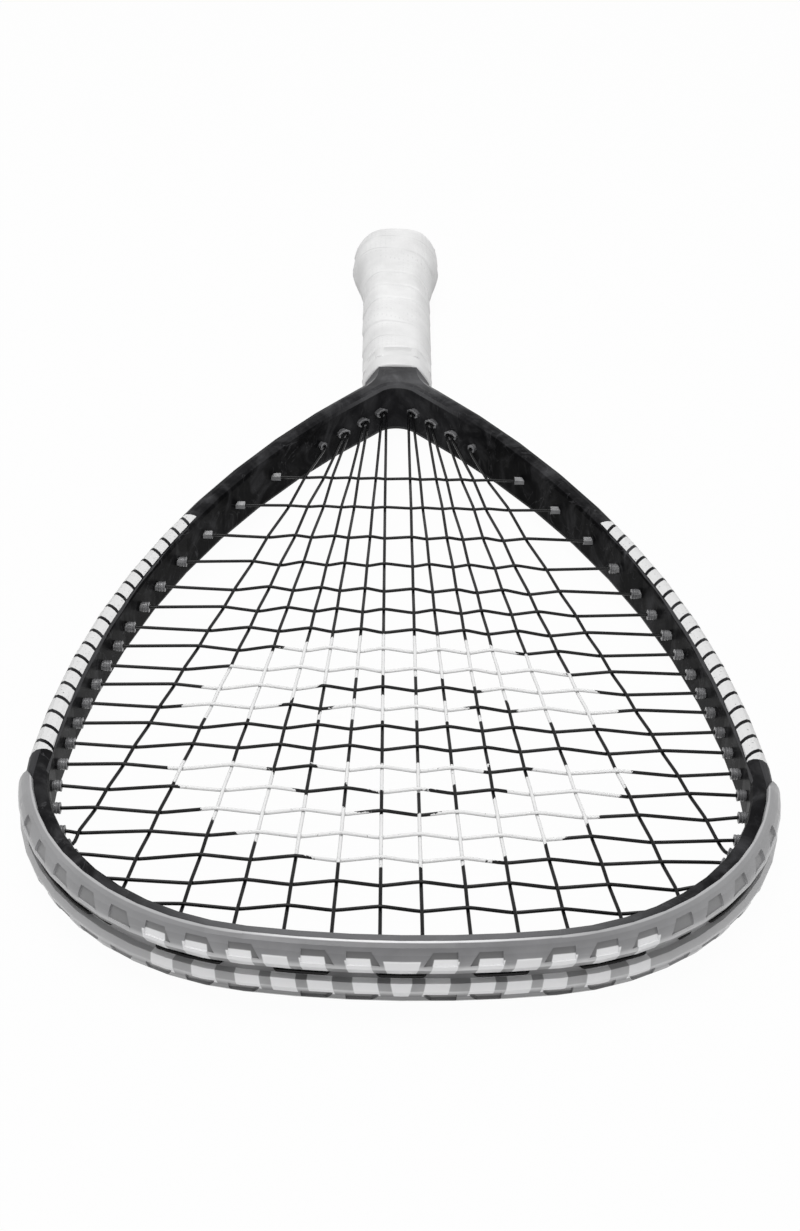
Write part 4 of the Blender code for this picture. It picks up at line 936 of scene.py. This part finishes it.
# Places along the handle in millimetres from the tip
GRIP_START = 393.8
COLLAR_END = 403.3
TAPE_START = 403.6
BAND_END = 412.0
CAP_START = 506.0
PALLET_END = 545.8
TAPE_END = 554.5

# Half width and half height in millimetres: of the pallet where it starts and where it ends, and
# of the cap's flare
PALLET_START_HALF = (14.5, 11.6)
PALLET_END_HALF = (15.7, 12.2)
FLARE_HALF = (20.6, 13.6)

# Where the flare swells, the wall of the cap's rim, the gap that a seated piece leaves, and where
# the cover starts to close round the end and by how much, in millimetres
FLARE_START = 495.0
FLARE_LENGTH = 35.0
RIM_WALL = 1.0
SEAT_GAP = 0.3
ROUNDED_FROM = 552.0
ROUNDING = 4.0

# Rings round the handle: their points, the flat shares of the octagon's half sides, and how sharp
# its edges are inside and outside; outside they grow softer over the flare and rise onto the rim
AROUND = 96
TOP_FLAT = 0.55
SIDE_FLAT = 0.3
INNER_SHARPNESS = 60
OUTER_SHARPNESS = 8
SOFTENING = 0.9
SOFTER_START = 500.0
SOFTER_LENGTH = 40.0
RIM_START = 497.0
RIM_LENGTH = 9.0

# Tape in millimetres: its pitch, its thickness pressed under the band and loose, the length over
# which it gets loose, and the rounding of its end
TAPE_PITCH = 19.0
TAPE_STEPS = 260
PRESSED = 0.9
LOOSE = 1.72
LOOSE_LENGTH = 1.5
END_LENGTH = 7.0
END_SHARE = 0.36

# The lap: where in a turn the next edge starts, how far it rises, the crease in front of it, and
# how much of all this is kept, which varies round the handle
LAP_EDGE = 0.92
LAP_RISE = 0.2
CREASE_DEPTH = 0.14
CREASE_WIDTH = 0.02
LAP_MEAN = 0.7
LAP_WAVE = 0.4
LAP_WAVE_LENGTH = 19

# Uneven winding as (size in turns, length); slack as (size, waves round the handle, length);
# and the bulge of the tape over the left side of the flare
WINDING_WAVES = ((0.22, 11), (0.1, 5.3))
SLACK_WAVES = ((0.12, 2, 31), (0.08, 5, -17))
BULGE = 1.1
BULGE_AT = 524.0
BULGE_LENGTH = 15.0

# Rings inside the tape, with a step from the cap's rim down onto the pallet
RIM_STEP = 0.6
TAPE_INSIDE = (TAPE_END, 540.0, 530.0, 522.0, 514.0, CAP_START, CAP_START - RIM_STEP, 469.8,
               TAPE_START)

# Finishing tape in millimetres
BAND_THICKNESS = 0.5

# Collar from its front end in millimetres: (length, cover), with a rounded lip and a soft bead
COLLAR_PROFILE = ((0.0, 0.6), (0.12, 1.05), (0.4, 1.4), (0.9, 1.62), (1.7, 1.72), (4.5, 1.78),
                  (7.0, 1.9), (8.0, 2.04), (8.6, 1.98), (9.0, 1.8), (9.2, 1.5))


def octagon_radius(turn, half_width, half_height, sharpness):
    """Radius of the handle's octagon with rounded edges, at an angle round its axis."""
    c = abs(math.cos(turn))
    s = abs(math.sin(turn))
    top = half_width * TOP_FLAT
    side = half_height * SIDE_FLAT
    normal = Vector((half_height - side, half_width - top)).normalized()
    reach = normal.x * top + normal.y * half_height
    total = (c / half_width) ** sharpness + (s / half_height) ** sharpness
    total += ((c * normal.x + s * normal.y) / reach) ** sharpness
    return total ** (-1 / sharpness)


def core_sizes(along, cap):
    """Half width and half height under the tape, where the cap share is how far its rim counts."""
    share = min((along - GRIP_START) / (PALLET_END - GRIP_START), 1.0)
    swell = eased((along - FLARE_START) / FLARE_LENGTH)
    turned = min(max(along - ROUNDED_FROM, 0.0) / ROUNDING, 1.0)
    sizes = []
    for start, end, flare in zip(PALLET_START_HALF, PALLET_END_HALF, FLARE_HALF):
        half = start + (end - start) * share
        core = half + (flare - half) * swell
        rim = half + (end + SEAT_GAP + RIM_WALL - half) * cap
        sizes.append(max(core, rim) + SEAT_GAP - ROUNDING * (1 - math.sqrt(1 - turned ** 2)))
    return sizes


def handle_ring(bm, along, cover, sharpness, cap):
    """Ring of vertices round the handle, at a cover in millimetres over the core."""
    width, height = core_sizes(along, cap)
    ring = []
    for i in range(AROUND):
        turn = 2 * math.pi * i / AROUND
        depth = cover(turn)
        radius = octagon_radius(turn, width + depth, height + depth, sharpness) * MM
        ring.append(bm.verts.new((radius * math.cos(turn), along * MM - HALF_LENGTH,
                                  radius * math.sin(turn))))
    return ring


def tape_phase(along):
    """Turns of tape up to here; the winding is a little uneven."""
    uneven = sum(size * math.sin(along / length) for size, length in WINDING_WAVES)
    return (along - TAPE_START) / TAPE_PITCH + uneven


def handle_sleeve(name, outside, inside, material):
    """Closed sleeve round the handle from rings of (along, cover), outside then back inside."""
    bm = bmesh.new()
    uv = bm.loops.layers.uv.new("tape")
    rings = []
    for along, cover in outside:
        sharpness = OUTER_SHARPNESS - SOFTENING * eased((along - SOFTER_START) / SOFTER_LENGTH)
        on_rim = eased((along - RIM_START) / RIM_LENGTH)
        rings.append((along, handle_ring(bm, along, cover, sharpness, on_rim)))
    for along, cover in inside:
        on_rim = float(along >= CAP_START)
        rings.append((along, handle_ring(bm, along, cover, INNER_SHARPNESS, on_rim)))
    for (low, first), (high, second) in zip(rings, rings[1:] + rings[:1]):
        for i in range(AROUND):
            j = (i + 1) % AROUND
            face = bm.faces.new((first[j], first[i], second[i], second[j]))
            corners = ((i + 1, low), (i, low), (i, high), (i + 1, high))
            for loop, (step, along) in zip(face.loops, corners):
                share = step / AROUND
                loop[uv].uv = (share, tape_phase(along) - share)
    return meshed(name, bm, material, 50)


def level(depth):
    """The same cover at every angle round the handle."""
    return lambda turn: depth


def lap_height(lap):
    """Height of the tape's top over its mean: an even fall, a crease and the next turn's edge."""
    fall = LAP_RISE - 2 * LAP_RISE * lap
    rise = eased((lap - LAP_EDGE) / (1 - LAP_EDGE))
    crease = CREASE_DEPTH * math.exp(-((lap - LAP_EDGE) / CREASE_WIDTH) ** 2)
    return fall * (1 - rise) + LAP_RISE * rise - crease


def tape_cover(along):
    """The tape's thickness: level under the finishing tape, lapped behind, rounded at the end."""
    loose = eased((along - BAND_END) / LOOSE_LENGTH)
    end = max(0.0, along - (TAPE_END - END_LENGTH)) / END_LENGTH
    back = END_SHARE + (1 - END_SHARE) * math.sqrt(max(0.0, 1 - end ** 2))
    bulge = BULGE * math.exp(-((along - BULGE_AT) / BULGE_LENGTH) ** 2)

    def cover(turn):
        phase = tape_phase(along) - turn / (2 * math.pi)
        lap = (LAP_MEAN + LAP_WAVE * math.sin(turn + along / LAP_WAVE_LENGTH)) * lap_height(phase % 1.0)
        slack = sum(size * math.sin(waves * turn + along / length)
                    for size, waves, length in SLACK_WAVES)
        free = (LOOSE + lap + slack + bulge * max(-math.cos(turn), 0.0) ** 3) * back
        return PRESSED + (free - PRESSED) * loose

    return cover


def wound_tape():
    """The wound grip tape, with its own tape coordinates."""
    length = TAPE_END - TAPE_START
    alongs = [TAPE_START + length * i / TAPE_STEPS for i in range(TAPE_STEPS + 1)]
    outside = [(along, tape_cover(along)) for along in alongs]
    inside = [(along, level(0.0)) for along in TAPE_INSIDE]
    return handle_sleeve("wound_tape", outside, inside, TAPE)


def finishing_band():
    """Adhesive tape pressed over the grip's end, with soft edges."""
    low = PRESSED + SEAT_GAP
    top = low + BAND_THICKNESS
    outside = [(TAPE_START - 0.2, level(top - 0.1)), (TAPE_START + 0.2, level(top))]
    outside += [(BAND_END - 0.3, level(top)), (BAND_END, level(low + 0.2))]
    inside = [(BAND_END, level(low)), (TAPE_START, level(low))]
    return handle_sleeve("finishing_band", outside, inside, BAND)


def rubber_collar():
    """Collar with a rounded front lip and a soft bead towards the tape."""
    start = GRIP_START + SEAT_GAP
    outside = [(start + length, level(depth)) for length, depth in COLLAR_PROFILE]
    inside = [(COLLAR_END, level(0.0)), (start, level(0.0))]
    return handle_sleeve("rubber_collar", outside, inside, RUBBER)


for piece, cad_name, slot in ((wound_tape(), "grip_wrap", "grip_tape"),
                              (finishing_band(), "finishing_tape", "finishing_tape"),
                              (rubber_collar(), "grip_collar", "collar_rubber")):
    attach(piece, "root")
    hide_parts(cad_name)


# Floor, light and camera

# Floor: its gap under the part, half its side, and the share of it that is plain white to the eye
FLOOR_GAP = 0.5 * MM
FLOOR_REACH = 6.0
FLOOR_GLOW = 0.97

# Strength of the white surround as light; to the eye it is plain white
SURROUND_LIGHT = 0.44

# Camera as solved from the photograph: place in metres, lens in millimetres and turns in degrees
CAMERA_PLACE = (-0.0117, -0.7213, 0.4196)
CAMERA_LENS = 58.49
SENSOR_HEIGHT = 36.0
CAMERA_PITCH = 33.04
CAMERA_YAW = 1.08
CAMERA_ROLL = 1.49


def white_for_view(tree, share):
    """1 for rays that should see plain white, times the share."""
    path = node(tree, "ShaderNodeLightPath")
    seen = maths(tree, "MAXIMUM", path.outputs["Is Camera Ray"],
                 maths(tree, "MAXIMUM", path.outputs["Is Glossy Ray"],
                       path.outputs["Is Transmission Ray"]))
    return product(tree, seen, share)


def floor():
    """Plain white floor just under the part, which takes a faint shadow."""
    mesh = bpy.data.meshes.new("floor")
    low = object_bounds()[0][2] - FLOOR_GAP
    mesh.from_pydata([(x * FLOOR_REACH, y * FLOOR_REACH, low)
                      for x, y in ((-1, -1), (1, -1), (1, 1), (-1, 1))], [], [(0, 1, 2, 3)])
    material, tree, shader, _ = surface("plain_white_floor")
    shader.inputs["Base Color"].default_value = colour("cccccc")
    shader.inputs["Roughness"].default_value = 0.9
    glow = node(tree, "ShaderNodeEmission", {"Color": (1, 1, 1, 1), "Strength": 1.0})
    mix = node(tree, "ShaderNodeMixShader", {0: white_for_view(tree, FLOOR_GLOW),
                                             1: shader.outputs[0], 2: glow.outputs[0]})
    tree.links.new(mix.outputs[0], tree.nodes["Material Output"].inputs[0])
    mesh.materials.append(material)
    added("floor", mesh)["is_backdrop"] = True


def studio_world():
    world = bpy.data.worlds.new("studio")
    world.use_nodes = True
    tree = world.node_tree
    back = tree.nodes["Background"]
    back.inputs["Color"].default_value = (1, 1, 1, 1)
    strength = line(tree, white_for_view(tree, 1.0), 1 - SURROUND_LIGHT, SURROUND_LIGHT)
    tree.links.new(strength, back.inputs["Strength"])
    bpy.context.scene.world = world


def lamp(name, place, target, size, watts):
    light = bpy.data.lights.new(name, "AREA")
    light.shape = "RECTANGLE"
    light.size = size[0]
    light.size_y = size[1]
    light.energy = watts
    made = added(name, light)
    made.location = place
    direction = Vector(target) - Vector(place)
    made.rotation_euler = direction.to_track_quat("-Z", "Y").to_euler()


def camera():
    """Seen from beyond the tip, 33 degrees down, on the photograph's lens."""
    data = bpy.data.cameras.new("camera")
    data.sensor_fit = "VERTICAL"
    data.sensor_height = SENSOR_HEIGHT
    data.lens = CAMERA_LENS
    data.clip_start = 0.01
    made = added("camera", data)
    pitch, yaw, roll = (math.radians(turn) for turn in (CAMERA_PITCH, CAMERA_YAW, CAMERA_ROLL))
    forward = Vector((math.sin(yaw) * math.cos(pitch), math.cos(yaw) * math.cos(pitch),
                      -math.sin(pitch)))
    right = Vector((math.cos(yaw), -math.sin(yaw), 0))
    up = right.cross(forward)
    turned_right = right * math.cos(roll) + up * math.sin(roll)
    turned_up = up * math.cos(roll) - right * math.sin(roll)
    turn = Matrix((turned_right, turned_up, -forward)).transposed()
    made.matrix_world = Matrix.Translation(CAMERA_PLACE) @ turn.to_4x4()
    bpy.context.scene.camera = made


camera()
floor()
studio_world()
lamp("key", place=(-0.15, 0.0, 1.7), target=(0, 0, 0), size=(1.5, 0.7), watts=15)
lamp("strip", place=(0, -0.25, 1.5), target=(0, 0, 0), size=(1.8, 0.1), watts=4)
lamp("front", place=(0.1, -1.9, 0.7), target=(0, -0.1, 0), size=(1.6, 0.8), watts=7)
bpy.context.scene.view_settings.view_transform = "Standard"
